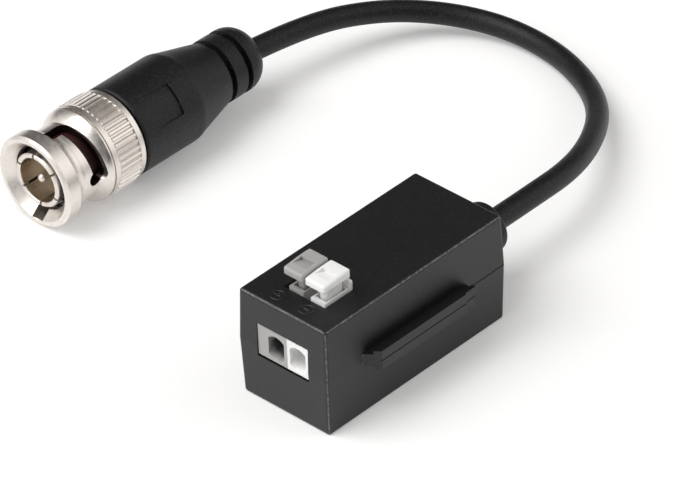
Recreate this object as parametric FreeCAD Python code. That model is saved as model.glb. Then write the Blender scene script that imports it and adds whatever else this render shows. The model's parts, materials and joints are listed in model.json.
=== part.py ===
import FreeCAD, Part
import math
import os
from FreeCAD import Placement, Rotation, Vector

# A passive video balun: a small two-shell box with a two-pole lever terminal at its
# front, a short coaxial lead out of its back and a moulded bayonet plug on the lead.
# Millimetres. Origin: middle of the box's flat bottom. +X right, +Y to the back, +Z up.

# How far the features of one piece reach into each other
SUNK = 0.1

# Box
BODY_WIDTH = 16.6
BODY_LENGTH = 36.0
BODY_HEIGHT = 17.5
PARTING_HEIGHT = 9.3
DRAFT_ANGLE = 1.7
WALL = 1.5
EDGE_RADIUS = 0.5
LIP_HEIGHT = 1.0
LIP_THICKNESS = 0.7
LIP_CLEARANCE = 0.08
SEAM_DEPTH = 0.12
SEAM_HEIGHT = 0.16

# Joining rail on the right side, and the slot for it in the left side
RAIL_DEPTH = 2.1
RAIL_NECK_DEPTH = 1.2
RAIL_NECK_HEIGHT = 2.0
RAIL_FLANGE_HEIGHT = 3.1
RAIL_FRONT_INSET = 7.0
RAIL_BACK_INSET = 8.15
RAIL_SLANT = 1.65
RAIL_STEP_LENGTH = 2.15
RAIL_STEP_DEPTH = 0.25
RAIL_CLEARANCE = 0.2
SLOT_WALL = 0.85

# Terminal: pole centres, front window, modules and their towers
POLE_PITCH = 4.0
POLE_PAIR_X = 0.7
END_PLATE_WIDTH = 1.4
END_PLATE_LENGTH = 2.4
MODULE_REACH = 10.8
MODULE_GAP = 0.1
NOSE_SETBACK = 0.2
NOSE_BOTTOM = 8.05
NOSE_HEIGHT = 5.1
WINDOW_SIDE_GAP = 0.05
WINDOW_TOP_GAP = 0.08
WINDOW_BOTTOM_GAP = 0.28
PORT_DIAMETER = 4.0
PORT_FLAT_WIDTH = 2.95
PORT_DEPTH = 2.0
PORT_ABOVE_NOSE_FLOOR = 2.3
WIRE_HOLE_DIAMETER = 2.0
WIRE_HOLE_LENGTH = 1.4
MODULE_SIDE_WALL = 0.55
MODULE_BACK_WALL = 1.1
MODULE_ROOF = 0.9
FOOT_GAP = 0.2
TOWER_SPACING = 1.4
TOWER_SETBACK = 4.55
TOWER_PROUD = 0.5
TOWER_WALL_THICKNESS = 0.5
TOWER_WALL_HEIGHT = 1.0
TOWER_WALL_GAP = 0.25
TOWER_POCKET_DEPTH = 0.35
TOWER_POCKET_MARGIN = 0.15
TOWER_GAP = 0.12
TOWER_LEFT_GAP = 0.95

# Levers
LEVER_TRAVEL = 1.6
LEVER_STOP_CLEARANCE = 0.45
PADDLE_GAP = 0.4
PADDLE_LENGTH = 5.3
PADDLE_SETBACK = 4.0
PADDLE_THICKNESS = 1.55
PADDLE_FRONT_DROP = 0.25
PADDLE_RADIUS = 0.35
NOTCH_DEPTH = 0.6
NOTCH_LENGTH = 1.7
NOTCH_BACK = 3.15
NOTCH_RIM = 0.55
STEM_WIDTH = 1.4
STEM_SETBACK = 5.5
STEM_BACK_GAP = 0.8
STEM_CLEARANCE = 0.2
STEM_ROOT_RADIUS = 0.4
FOOT_WIDTH = 2.4
FOOT_OVERHANG = 0.5
FOOT_THICKNESS = 1.2

# Clamp springs and contact strips
SPRING_WIDTH = 2.2
SPRING_THICKNESS = 0.3
SPRING_GAP = 0.1
SPRING_BEND_RADIUS = 0.6
SPRING_TIP_SETBACK = 2.2
SPRING_TIP_GAP = 0.15
SPRING_HEEL_GAP = 0.5
SPRING_KNEE_GAP = 0.2
STRIP_WIDTH = 2.0
STRIP_THICKNESS = 0.5
PIN_WIDTH = 0.8
PIN_BELOW_BOARD = 1.3

# Circuit board and what stands on it
BOARD_SIDE_GAP = 0.5
BOARD_FRONT_GAP = 1.1
BOARD_BACK_GAP = 3.1
BOARD_THICKNESS = 1.2
BOARD_HEIGHT = 5.0
BOARD_CORNER_RADIUS = 1.0
POST_DIAMETER = 2.6
POST_INSET = 1.5
PEG_DIAMETER = 1.2
PEG_HEIGHT = 2.0
HOLE_CLEARANCE = 0.15
CORE_X = 0.9
HEADER_GAP = 1.3
CORE_DIAMETER = 7.4
CORE_HOLE_DIAMETER = 3.8
CORE_HEIGHT = 3.4
WIRE_DIAMETER = 0.35
WIRE_GAP = 0.03
TURNS = 18
HEADER_SIZE = 8.6
HEADER_HEIGHT = 1.0
HEADER_PIN_DIAMETER = 0.6
HEADER_PIN_INSET = 1.0
HEADER_CORNER_RADIUS = 0.6
DIODE_LENGTH = 3.6
DIODE_WIDTH = 2.6
DIODE_HEIGHT = 2.2
CAPACITOR_DIAMETER = 4.0
CAPACITOR_HEIGHT = 5.0
RESISTOR_LENGTH = 2.0
RESISTOR_WIDTH = 1.25
COMPONENT_MARGIN = 0.6
COMPONENT_GAP = 0.8
RESISTOR_HEIGHT = 0.6
COMPONENT_CHAMFER = 0.3

# Lead and its gland
CABLE_DIAMETER = 3.4
CABLE_EXIT_HEIGHT = 8.8
GLAND_DIAMETER = 7.7
GLAND_REACH = 5.8
GLAND_GROOVE_DIAMETER = 5.9
GLAND_INNER_LENGTH = 1.6
GLAND_SEAT_GAP = 0.05
GLAND_EDGE_RADIUS = 0.7
TAIL_INSIDE = 4.0
STRIPPED_LENGTH = 1.4
WIRE_RUN = 1.2
SHIELD_RUN = 1.6
SHIELD_LEAD_X = 3.0
DIELECTRIC_DIAMETER = 2.0
CORE_WIRE_DIAMETER = 0.6

# Plug: where its mouth lies on the table, and how far it is turned
PLUG_MOUTH_X = -57.25
PLUG_MOUTH_Y = -8.95
PLUG_TURN = 0.45

# Coupling ring: its lengths follow one another from its mouth to its back, and each
# step is how far a turned part lies inside the tips of the knurl
KNURL_DIAMETER = 14.7
KNURL_DEPTH = 0.4
KNURL_LENGTH = 4.3
KNURL_COUNT = 48
KNURL_ROOT_SHARE = 0.8
KNURL_TIP_SHARE = 0.36
RING_WALL = 0.95
RING_RIM_STEP = 0.15
RING_RIM_LENGTH = 2.4
RING_RIM_CHAMFER = 0.35
RING_FACE_WIDTH = 0.95
RING_MOUTH_DEPTH = 1.5
RING_FILLET_LENGTH = 2.1
RING_FILLET_BEND_OUT = 0.2
RING_FILLET_BEND_ALONG = 0.4
RING_NECK_WALL = 1.05
RING_NECK_LENGTH = 2.6
RING_DOME_LENGTH = 1.8
RING_DOME_BEND_OUT = 0.58
RING_DOME_BEND_ALONG = 0.45
RING_BAND_STEP = 0.1
RING_SHOULDER_LENGTH = 0.2
RING_GROOVE_DEPTH = 0.35
RING_GROOVE_LENGTH = 0.25
RING_BAND_LENGTH = 0.9
RING_BACK_STEP = 0.2
RING_BACK_LENGTH = 1.2
RING_BACK_CHAMFER = 0.35
JACK_BORE_DIAMETER = 10.0
CHAMBER_BEHIND_NECK = 1.7
BAYONET_SLOT_WIDTH = 2.1
BAYONET_GROOVE_BREAKOUT = 0.15
BAYONET_START_ANGLE = -91.5
BAYONET_TURN = 95.5
BAYONET_END_RADIUS = 1.0
BAYONET_IN_NECK = 1.6
BAYONET_RISE = 1.05
BAYONET_LATCH_BACK = 0.85
BAYONET_LATCH_ANGLE = 91.5
RING_TRAVEL = 0.8

# What the coupling ring runs on
CLIP_THICKNESS = 0.7
CLIP_SEAT = 0.3
CLIP_GAP = 1.6
CLIP_CLEARANCE = 0.15
FLANGE_CLEARANCE = 0.2
FLANGE_STEP = 0.85
FLANGE_GAP = 0.3
FLANGE_LENGTH = 1.2
BARREL_IN_GRIP = 0.7
CRIMP_BARREL_DIAMETER = 4.0
CRIMP_BARREL_LENGTH = 5.2
CRIMP_BORE_CLEARANCE = 0.05
BODY_BORE_DIAMETER = 3.6
WASHER_THICKNESS = 0.35
WASHER_SPARE = 0.45
WASHER_WAVES = 3
WASHER_GAP = 0.1

# Contacts, insulator and gasket
CONTACT_START = 0.6
CONTACT_JACK_GAP = 0.75
CONTACT_WALL = 0.75
CONTACT_STEP_DEPTH = 0.1
CONTACT_LIP_CHAMFER = 0.2
CONTACT_BORE_CHAMFER = 0.15
CONTACT_IN_BODY = 2.4
CONTACT_SLITS = 6
CONTACT_SLIT_WIDTH = 0.35
CONTACT_SLIT_END = 6.4
CONTACT_SLIT_ANGLE = 23.0
CENTRE_PIN_DIAMETER = 1.35
CENTRE_PIN_START = 1.1
CENTRE_PIN_SHORT = 1.2
INSULATOR_NOSE = 3.2
INSULATOR_CHAMFER = 0.3
GASKET_LENGTH = 5.5
GASKET_GAP = 0.3
GASKET_CHAMFER = 0.15

# Crimp and moulded grip: lengths follow one another from the ring's back
FERRULE_GAP = 0.4
FERRULE_NECK_GAP = 0.3
FERRULE_TAIL_LENGTH = 3.7
FERRULE_WALL = 0.45
BRAID_THICKNESS = 0.15
BOOT_GAP = 0.3
BOOT_STEP = 0.25
BOOT_EDGE_CHAMFER = 0.3
BOOT_CYLINDER_LENGTH = 10.9
BOOT_SHOULDER_LENGTH = 1.5
BOOT_SHOULDER_DROP = 0.3
BOOT_SHOULDER_BEND_OUT = 0.22
BOOT_CONE_LENGTH = 6.8
BOOT_TAIL_DIAMETER = 10.1
BOOT_GROOVE_WIDTH = 1.0
BOOT_GROOVE_DEPTH = 0.9
BOOT_RIB_LENGTH = 2.3
BOOT_END_LENGTH = 3.95
BOOT_END_RADIUS = 3.4
LEAD_BEND_DEPTH = 3.4
LEAD_BEND_RADIUS = 18.0
LEAD_PROUD = 0.4
PANEL_OFFSET = 1.9
PANEL_LENGTH = 5.8
PANEL_WIDTH = 5.0
PANEL_DEPTH = 0.25
PANEL_ANGLE = -40.0

# Free lead: a straight start, then a route to the plug's end that is chosen by hand
CABLE_START_RUN = 8.9
CABLE_ARC_SHARE = 0.45
CABLE_ROUTE = [
    (-1.1, 41.9, 7.7),
    (-4.8, 50.7, 5.8),
    (-10.7, 59.4, 3.7),
    (-18.2, 65.5, 2.2),
    (-27.4, 69.1, 1.75),
    (-37.2, 69.1, 2.1),
    (-45.5, 65.0, 3.2),
    (-51.6, 57.2, 5.1),
    (-55.2, 45.7, 7.1),
]


def box(x0, x1, y0, y1, z0, z1):
    return Part.makeBox(x1 - x0, y1 - y0, z1 - z0, Vector(x0, y0, z0))


def rod_z(x, y, diameter, z0, z1):
    return Part.makeCylinder(diameter / 2, z1 - z0, Vector(x, y, z0))


def rod_y(x, z, diameter, y0, y1):
    return Part.makeCylinder(diameter / 2, y1 - y0, Vector(x, y0, z), Vector(0, 1, 0))


def prism_z(points, z0, z1):
    outline = Part.makePolygon([Vector(x, y, z0) for x, y in points + points[:1]])
    return Part.Face(outline).extrude(Vector(0, 0, z1 - z0))


def prism_x(points, x0, x1):
    outline = Part.makePolygon([Vector(x0, y, z) for y, z in points + points[:1]])
    return Part.Face(outline).extrude(Vector(x1 - x0, 0, 0))


def turned(points):
    """A solid turned about Z from (radius, height) points."""
    outline = Part.makePolygon([Vector(r, 0, z) for r, z in points + points[:1]])
    return Part.Face(outline).revolve(Vector(0, 0, 0), Vector(0, 0, 1), 360)


def turned_edges(edges):
    return Part.Face(Part.Wire(edges)).revolve(Vector(0, 0, 0), Vector(0, 0, 1), 360)


def segment(p, q):
    return Part.LineSegment(Vector(p[0], 0, p[1]), Vector(q[0], 0, q[1])).toShape()


def arc(p, q, r):
    return Part.Arc(Vector(p[0], 0, p[1]), Vector(q[0], 0, q[1]), Vector(r[0], 0, r[1])).toShape()


def tube(outer, inner, z0, z1):
    return rod_z(0, 0, outer, z0, z1).cut(rod_z(0, 0, inner, z0, z1))


def softened(solid, radius, choose):
    """Rounds the straight edges that choose accepts."""
    edges = [edge for edge in solid.Edges if choose(edge)]
    return solid.makeFillet(radius, edges)


def runs_along(edge, axis):
    start, end = edge.Vertexes[0].Point, edge.Vertexes[-1].Point
    span = end.sub(start)
    if span.Length < 1e-6:
        return False
    return abs(span.dot(axis)) > 0.98 * span.Length


def bent_path(points, radius_of):
    """Straight runs joined by tangent arcs. Returns the wire and the arcs' radii."""
    edges = []
    radii = []
    start = points[0]
    for before, corner, after in zip(points, points[1:], points[2:]):
        into = corner.sub(before)
        out = after.sub(corner)
        half_turn = into.getAngle(out) / 2
        radius = radius_of(min(into.Length, out.Length), half_turn)
        reach = radius * math.tan(half_turn)
        into.normalize()
        out.normalize()
        first = corner - into * reach
        last = corner + out * reach
        inward = out.sub(into)
        inward.normalize()
        middle = corner + inward * (radius / math.cos(half_turn) - radius)
        edges.append(Part.LineSegment(start, first).toShape())
        edges.append(Part.Arc(first, middle, last).toShape())
        start = last
        radii.append(radius)
    edges.append(Part.LineSegment(start, points[-1]).toShape())
    return Part.Wire(edges), radii


def bent_strip(points, bend, thickness, width):
    """A strip bent in a plane of constant X, from (x, y, z) points along its middle."""
    path, _ = bent_path([Vector(*point) for point in points], lambda run, half_turn: bend)
    start = Vector(*points[0])
    along = Vector(*points[1]).sub(start)
    along.normalize()
    across = along.cross(Vector(1, 0, 0)) * (thickness / 2)
    side = Vector(width / 2, 0, 0)
    corners = [start + side + across, start - side + across, start - side - across, start + side - across]
    section = Part.makePolygon(corners + corners[:1])
    return path.makePipeShell([section], True, False)


# Values that several pieces share: the box and its terminal
DRAFT = math.tan(math.radians(DRAFT_ANGLE))
FRONT = -BODY_LENGTH / 2
BACK = BODY_LENGTH / 2
ROOF_UNDERSIDE = BODY_HEIGHT - WALL
RAIL_FRONT = FRONT + RAIL_FRONT_INSET
RAIL_BACK = BACK - RAIL_BACK_INSET
SLOT_BACKING = -BODY_WIDTH / 2 + RAIL_DEPTH + RAIL_CLEARANCE + SLOT_WALL
PLUS_X = POLE_PAIR_X - POLE_PITCH / 2
MINUS_X = POLE_PAIR_X + POLE_PITCH / 2
POLE_XS = {"plus": PLUS_X, "minus": MINUS_X}
MODULE_LEFT = POLE_PAIR_X - POLE_PITCH
MODULE_RIGHT = POLE_PAIR_X + POLE_PITCH
BLOCK_LEFT = MODULE_LEFT - END_PLATE_WIDTH
MODULE_BACK = FRONT + MODULE_REACH
MODULE_TOP = ROOF_UNDERSIDE - MODULE_GAP
MODULE_FRONT = FRONT + WALL + DRAFT * (MODULE_TOP - PARTING_HEIGHT) + MODULE_GAP
NOSE_FRONT = FRONT + NOSE_SETBACK
PORT_HEIGHT = NOSE_BOTTOM + PORT_ABOVE_NOSE_FLOOR
PORT_END = NOSE_FRONT + PORT_DEPTH
CAVITY_FRONT = PORT_END + WIRE_HOLE_LENGTH
CAVITY_BACK = MODULE_BACK - MODULE_BACK_WALL
CAVITY_TOP = MODULE_TOP - MODULE_ROOF
PADDLE_WIDTH = POLE_PITCH - PADDLE_GAP
PADDLE_FRONT = FRONT + PADDLE_SETBACK
PADDLE_BACK = PADDLE_FRONT + PADDLE_LENGTH
STEM_FRONT = FRONT + STEM_SETBACK
STEM_BACK = CAVITY_BACK - STEM_BACK_GAP
TOWER_WIDTH = POLE_PITCH - TOWER_SPACING
TOWER_TOP = BODY_HEIGHT + TOWER_PROUD
TOWER_FRONT = FRONT + TOWER_SETBACK
TOWER_BACK = PADDLE_BACK + TOWER_WALL_GAP + TOWER_WALL_THICKNESS
PADDLE_BOTTOM = TOWER_TOP + LEVER_TRAVEL + LEVER_STOP_CLEARANCE
FOOT_TOP = CAVITY_TOP - FOOT_GAP
FOOT_BOTTOM = FOOT_TOP - FOOT_THICKNESS
STRIP_TOP = PORT_HEIGHT - WIRE_HOLE_DIAMETER / 2 - MODULE_GAP
BOARD_LEFT = SLOT_BACKING + BOARD_SIDE_GAP
BOARD_RIGHT = BODY_WIDTH / 2 - WALL - BOARD_SIDE_GAP
BOARD_FRONT = FRONT + WALL + BOARD_FRONT_GAP
BOARD_BACK = BACK - WALL - BOARD_BACK_GAP
BOARD_TOP = BOARD_HEIGHT + BOARD_THICKNESS
CORE_Y = MODULE_BACK + HEADER_GAP + HEADER_SIZE / 2
GLAND_END = BACK + GLAND_REACH

# Values that several pieces share: the plug, measured from the coupling ring's mouth
JACK_BORE_RADIUS = JACK_BORE_DIAMETER / 2
NECK_RADIUS = JACK_BORE_RADIUS + RING_NECK_WALL
KNURL_RADIUS = KNURL_DIAMETER / 2
BAND_RADIUS = KNURL_RADIUS - RING_BAND_STEP
NECK_START = RING_RIM_LENGTH + RING_FILLET_LENGTH
NECK_END = NECK_START + RING_NECK_LENGTH
SHOULDER_START = NECK_END + RING_DOME_LENGTH
SHOULDER_END = SHOULDER_START + RING_SHOULDER_LENGTH
BAND_START = SHOULDER_END + RING_GROOVE_LENGTH
KNURL_START = BAND_START + RING_BAND_LENGTH
KNURL_END = KNURL_START + KNURL_LENGTH
RING_LENGTH = KNURL_END + RING_BACK_LENGTH
CHAMBER_START = NECK_END + CHAMBER_BEHIND_NECK
CHAMBER_DIAMETER = KNURL_DIAMETER - 2 * (KNURL_DEPTH + RING_WALL)
FLANGE_START = CHAMBER_START + FLANGE_GAP
FLANGE_DIAMETER = CHAMBER_DIAMETER - 2 * FLANGE_CLEARANCE
BARREL_DIAMETER = FLANGE_DIAMETER - 2 * FLANGE_STEP
WASHER_START = FLANGE_START + FLANGE_LENGTH
WASHER_HEIGHT = WASHER_THICKNESS + RING_TRAVEL + WASHER_SPARE
CLIP_START = WASHER_START + WASHER_HEIGHT + WASHER_GAP / 2
CLIP_DIAMETER = CHAMBER_DIAMETER + 2 * CLIP_SEAT
CONTACT_DIAMETER = 2 * (JACK_BORE_RADIUS - CONTACT_JACK_GAP)
CONTACT_END = FLANGE_START + CONTACT_IN_BODY
GASKET_START = FLANGE_START - GASKET_LENGTH
GASKET_DIAMETER = 2 * (JACK_BORE_RADIUS - GASKET_GAP)
INSULATOR_START = FLANGE_START - INSULATOR_NOSE
BOOT_START = RING_LENGTH + BOOT_GAP
BOOT_RADIUS = KNURL_RADIUS - BOOT_STEP
BARREL_END = BOOT_START + BARREL_IN_GRIP
CENTRE_PIN_END = BARREL_END - CENTRE_PIN_SHORT
CRIMP_BARREL_END = BARREL_END + CRIMP_BARREL_LENGTH
FERRULE_START = BARREL_END + FERRULE_GAP
FERRULE_NECK = CRIMP_BARREL_END + FERRULE_NECK_GAP
FERRULE_END = FERRULE_NECK + FERRULE_TAIL_LENGTH
BOOT_CYLINDER_END = BOOT_START + BOOT_CYLINDER_LENGTH
BOOT_SHOULDER_END = BOOT_CYLINDER_END + BOOT_SHOULDER_LENGTH
BOOT_CONE_END = BOOT_SHOULDER_END + BOOT_CONE_LENGTH
BOOT_END = BOOT_CONE_END + 2 * BOOT_GROOVE_WIDTH + BOOT_RIB_LENGTH + BOOT_END_LENGTH
LEAD_BEND = BOOT_END - LEAD_BEND_DEPTH
PLUG_PLACE = Placement(
    Vector(PLUG_MOUTH_X, PLUG_MOUTH_Y, KNURL_RADIUS),
    Rotation(Vector(0, 0, 1), -PLUG_TURN).multiply(Rotation(Vector(1, 0, 0), -90)),
)


def drafted_block(inset, z_wide, z_narrow):
    """The box's outer form, inset on every side, from the parting plane up or down."""
    shrink = DRAFT * abs(z_narrow - z_wide)
    outlines = []
    for z, less in ((z_wide, inset), (z_narrow, inset + shrink)):
        half_width = BODY_WIDTH / 2 - less
        half_length = BODY_LENGTH / 2 - less
        corners = [
            Vector(-half_width, -half_length, z),
            Vector(half_width, -half_length, z),
            Vector(half_width, half_length, z),
            Vector(-half_width, half_length, z),
        ]
        outlines.append(Part.makePolygon(corners + corners[:1]))
    return Part.makeLoft(outlines, True, True)


def rounded_block(z_wide, z_narrow):
    """The outer form with its upright edges and its far face's edges rounded."""
    block = drafted_block(0, z_wide, z_narrow)
    return softened(
        block,
        EDGE_RADIUS,
        lambda edge: abs(edge.CenterOfMass.z - z_wide) > 1e-6,
    )


def hollow_half(z_wide, z_narrow):
    inner_end = z_narrow - math.copysign(WALL, z_narrow - z_wide)
    return rounded_block(z_wide, z_narrow).cut(drafted_block(WALL, z_wide, inner_end))


def t_section(side_x, outward, depth, neck_depth, neck_height, flange_height, plan):
    """A T-shaped bar on a side wall. plan gives its outline from above for two x values."""
    x_neck = side_x + outward * neck_depth
    x_face = side_x + outward * depth
    neck = prism_z(plan(side_x - outward * 0.5, x_neck), PARTING_HEIGHT - neck_height / 2,
                   PARTING_HEIGHT + neck_height / 2)
    flange = prism_z(plan(x_neck, x_face), PARTING_HEIGHT - flange_height / 2,
                     PARTING_HEIGHT + flange_height / 2)
    return neck.fuse(flange).removeSplitter()


def rail():
    side = BODY_WIDTH / 2

    def front_at(x):
        return RAIL_FRONT + RAIL_SLANT * (x - side) / RAIL_DEPTH

    def plan(x0, x1):
        return [(x0, front_at(x0)), (x1, front_at(x1)), (x1, RAIL_BACK), (x0, RAIL_BACK)]

    bar = t_section(side, 1, RAIL_DEPTH, RAIL_NECK_DEPTH, RAIL_NECK_HEIGHT, RAIL_FLANGE_HEIGHT, plan)
    face = side + RAIL_DEPTH
    step = box(face - RAIL_STEP_DEPTH, face + 1, RAIL_BACK - RAIL_STEP_LENGTH, RAIL_BACK + 1,
               0, BODY_HEIGHT)
    return bar.cut(step)


def slot_for_rail():
    side = -BODY_WIDTH / 2
    front = RAIL_FRONT - RAIL_CLEARANCE

    def plan(x0, x1):
        return [(x0, front), (x0, BACK + 1), (x1, BACK + 1), (x1, front)]

    return t_section(
        side, 1, RAIL_DEPTH + RAIL_CLEARANCE, RAIL_NECK_DEPTH - RAIL_CLEARANCE,
        RAIL_NECK_HEIGHT + 2 * RAIL_CLEARANCE, RAIL_FLANGE_HEIGHT + 2 * RAIL_CLEARANCE, plan)


def slot_backing():
    """The thicker wall that carries the slot, inside the left wall."""
    half_height = RAIL_FLANGE_HEIGHT / 2 + RAIL_CLEARANCE + SLOT_WALL
    return box(-BODY_WIDTH / 2 + WALL / 2, SLOT_BACKING, RAIL_FRONT - RAIL_CLEARANCE - SLOT_WALL,
               BACK - WALL / 2, PARTING_HEIGHT - half_height, PARTING_HEIGHT + half_height)


def window():
    z0 = NOSE_BOTTOM - WINDOW_BOTTOM_GAP
    z1 = NOSE_BOTTOM + NOSE_HEIGHT + WINDOW_TOP_GAP
    return box(BLOCK_LEFT - WINDOW_SIDE_GAP, MODULE_RIGHT + WINDOW_SIDE_GAP,
               FRONT - 1, FRONT + WALL + 0.5, z0, z1)


def gland_hole():
    diameter = GLAND_GROOVE_DIAMETER + 2 * GLAND_SEAT_GAP
    return rod_y(0, CABLE_EXIT_HEIGHT, diameter, BACK - 2 * WALL, BACK + 1)


def half_space(above):
    size = 4 * BODY_LENGTH
    if above:
        return box(-size, size, -size, size, PARTING_HEIGHT, size)
    return box(-size, size, -size, size, -size, PARTING_HEIGHT)


def lip(extra):
    """The tongue that stands on the lower shell's inner edge, or the rebate for it."""
    outer = WALL - LIP_THICKNESS - extra
    height = LIP_HEIGHT + extra
    ring = drafted_block(outer, PARTING_HEIGHT, PARTING_HEIGHT + height)
    return ring.cut(drafted_block(WALL, PARTING_HEIGHT, PARTING_HEIGHT + height))


def seam():
    """A fine groove along the parting line, from the rail's front end round the back."""
    z0 = PARTING_HEIGHT - SEAM_HEIGHT / 2
    z1 = PARTING_HEIGHT + SEAM_HEIGHT / 2
    face = BODY_WIDTH / 2 + RAIL_DEPTH
    ring = box(-BODY_WIDTH, BODY_WIDTH / 2, RAIL_FRONT, BODY_LENGTH, z0, z1)
    ring = ring.fuse(box(0, BODY_WIDTH / 2 + 1, RAIL_BACK, BODY_LENGTH, z0, z1))
    ring = ring.cut(box(SEAM_DEPTH - BODY_WIDTH / 2, BODY_WIDTH / 2 - SEAM_DEPTH, -BODY_LENGTH,
                        BACK - SEAM_DEPTH, 0, BODY_HEIGHT))
    on_rail = box(face - RAIL_STEP_DEPTH - SEAM_DEPTH, face + 1, RAIL_FRONT, RAIL_BACK + 1, z0, z1)
    on_rail = on_rail.cut(box(0, face - SEAM_DEPTH, RAIL_FRONT - 1, RAIL_BACK - RAIL_STEP_LENGTH,
                              0, BODY_HEIGHT))
    return [ring, on_rail]


def shell_cuts():
    return [slot_for_rail(), window(), gland_hole()] + seam()


def upper_shell():
    shell = hollow_half(PARTING_HEIGHT, BODY_HEIGHT)
    shell = shell.cut(lip(LIP_CLEARANCE))
    shell = shell.fuse(slot_backing().common(half_space(True)))
    shell = shell.fuse(rail().common(half_space(True)))
    shell = shell.cut(shell_cuts())
    opening = box(PLUS_X - TOWER_WIDTH / 2 - TOWER_LEFT_GAP, MINUS_X + TOWER_WIDTH / 2 + TOWER_GAP,
                  TOWER_FRONT - TOWER_GAP, TOWER_BACK + TOWER_GAP, ROOF_UNDERSIDE - 1, BODY_HEIGHT + 1)
    return shell.cut(opening).removeSplitter()


def post_places():
    return [(x, y) for x in (BOARD_LEFT + POST_INSET, BOARD_RIGHT - POST_INSET)
            for y in (BOARD_FRONT + POST_INSET, BOARD_BACK - POST_INSET)]


def lower_shell():
    shell = hollow_half(PARTING_HEIGHT, 0)
    shell = shell.fuse(slot_backing().common(half_space(False)))
    shell = shell.fuse(rail().common(half_space(False)))
    tongue = lip(0).cut(slot_backing())
    shell = shell.fuse(tongue)
    shell = shell.cut(shell_cuts())
    for x, y in post_places():
        shell = shell.fuse(rod_z(x, y, POST_DIAMETER, WALL / 2, BOARD_HEIGHT))
        if y > 0:
            shell = shell.fuse(rod_z(x, y, PEG_DIAMETER, WALL / 2, BOARD_HEIGHT + PEG_HEIGHT))
    return shell.removeSplitter()


def port(x):
    """A wire funnel with flat sides that narrows to a round hole into the cavity."""
    cone = Part.makeCone(PORT_DIAMETER / 2, WIRE_HOLE_DIAMETER / 2, PORT_DEPTH,
                         Vector(x, NOSE_FRONT, PORT_HEIGHT), Vector(0, 1, 0))
    sides = box(x - PORT_FLAT_WIDTH / 2, x + PORT_FLAT_WIDTH / 2, NOSE_FRONT - 1, PORT_END,
                PORT_HEIGHT - PORT_DIAMETER, PORT_HEIGHT + PORT_DIAMETER)
    hole = rod_y(x, PORT_HEIGHT, WIRE_HOLE_DIAMETER, NOSE_FRONT, CAVITY_FRONT + 1)
    return cone.common(sides).fuse(hole)


def terminal_module(x):
    """One pole's moulded housing: nose, cavity open at the bottom, and a tower."""
    left = x - POLE_PITCH / 2
    right = x + POLE_PITCH / 2
    block = box(left, right, MODULE_FRONT, MODULE_BACK, BOARD_TOP, MODULE_TOP)
    nose = box(left, right, NOSE_FRONT, MODULE_FRONT, NOSE_BOTTOM, NOSE_BOTTOM + NOSE_HEIGHT)
    tower = box(x - TOWER_WIDTH / 2, x + TOWER_WIDTH / 2, TOWER_FRONT, TOWER_BACK, MODULE_TOP, TOWER_TOP)
    wall = box(x - TOWER_WIDTH / 2, x + TOWER_WIDTH / 2, TOWER_BACK - TOWER_WALL_THICKNESS, TOWER_BACK,
               TOWER_TOP, TOWER_TOP + TOWER_WALL_HEIGHT)
    wall = softened(wall, TOWER_WALL_THICKNESS / 2,
                    lambda edge: runs_along(edge, Vector(0, 1, 0)) and edge.CenterOfMass.z > TOWER_TOP + 0.1)
    module = block.fuse([nose, tower, wall])
    cavity = box(left + MODULE_SIDE_WALL, right - MODULE_SIDE_WALL, CAVITY_FRONT, CAVITY_BACK,
                 BOARD_TOP - 1, CAVITY_TOP)
    stem_hole = box(x - STEM_WIDTH / 2 - STEM_CLEARANCE, x + STEM_WIDTH / 2 + STEM_CLEARANCE,
                    STEM_FRONT - STEM_CLEARANCE, STEM_BACK + STEM_CLEARANCE,
                    CAVITY_TOP - 1, TOWER_TOP + 1)
    around = STEM_CLEARANCE + TOWER_POCKET_MARGIN
    pocket = box(x - STEM_WIDTH / 2 - around, x + STEM_WIDTH / 2 + around,
                 STEM_FRONT - around, STEM_BACK + around,
                 TOWER_TOP - TOWER_POCKET_DEPTH, TOWER_TOP + 1)
    return module.cut([cavity, stem_hole, pocket, port(x)])


def terminal_plus():
    plate = box(BLOCK_LEFT, MODULE_LEFT, NOSE_FRONT, NOSE_FRONT + END_PLATE_LENGTH,
                NOSE_BOTTOM, NOSE_BOTTOM + NOSE_HEIGHT)
    return terminal_module(PLUS_X).fuse(plate).removeSplitter()


def terminal_minus():
    return terminal_module(MINUS_X).removeSplitter()


def at_stem_root(edge, x):
    """Whether an edge is where the stem meets the underside of its paddle."""
    box_around = edge.BoundBox
    return (abs(box_around.ZMin - PADDLE_BOTTOM) < 1e-4 and abs(box_around.ZMax - PADDLE_BOTTOM) < 1e-4
            and box_around.XMin > x - STEM_WIDTH / 2 - 1e-3 and box_around.XMax < x + STEM_WIDTH / 2 + 1e-3)


def lies_at(edge, y, z):
    """Whether an edge runs across the paddle at this place of its side view."""
    middle = edge.CenterOfMass
    return abs(middle.y - y) < 1e-4 and abs(middle.z - z) < 1e-4


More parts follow.
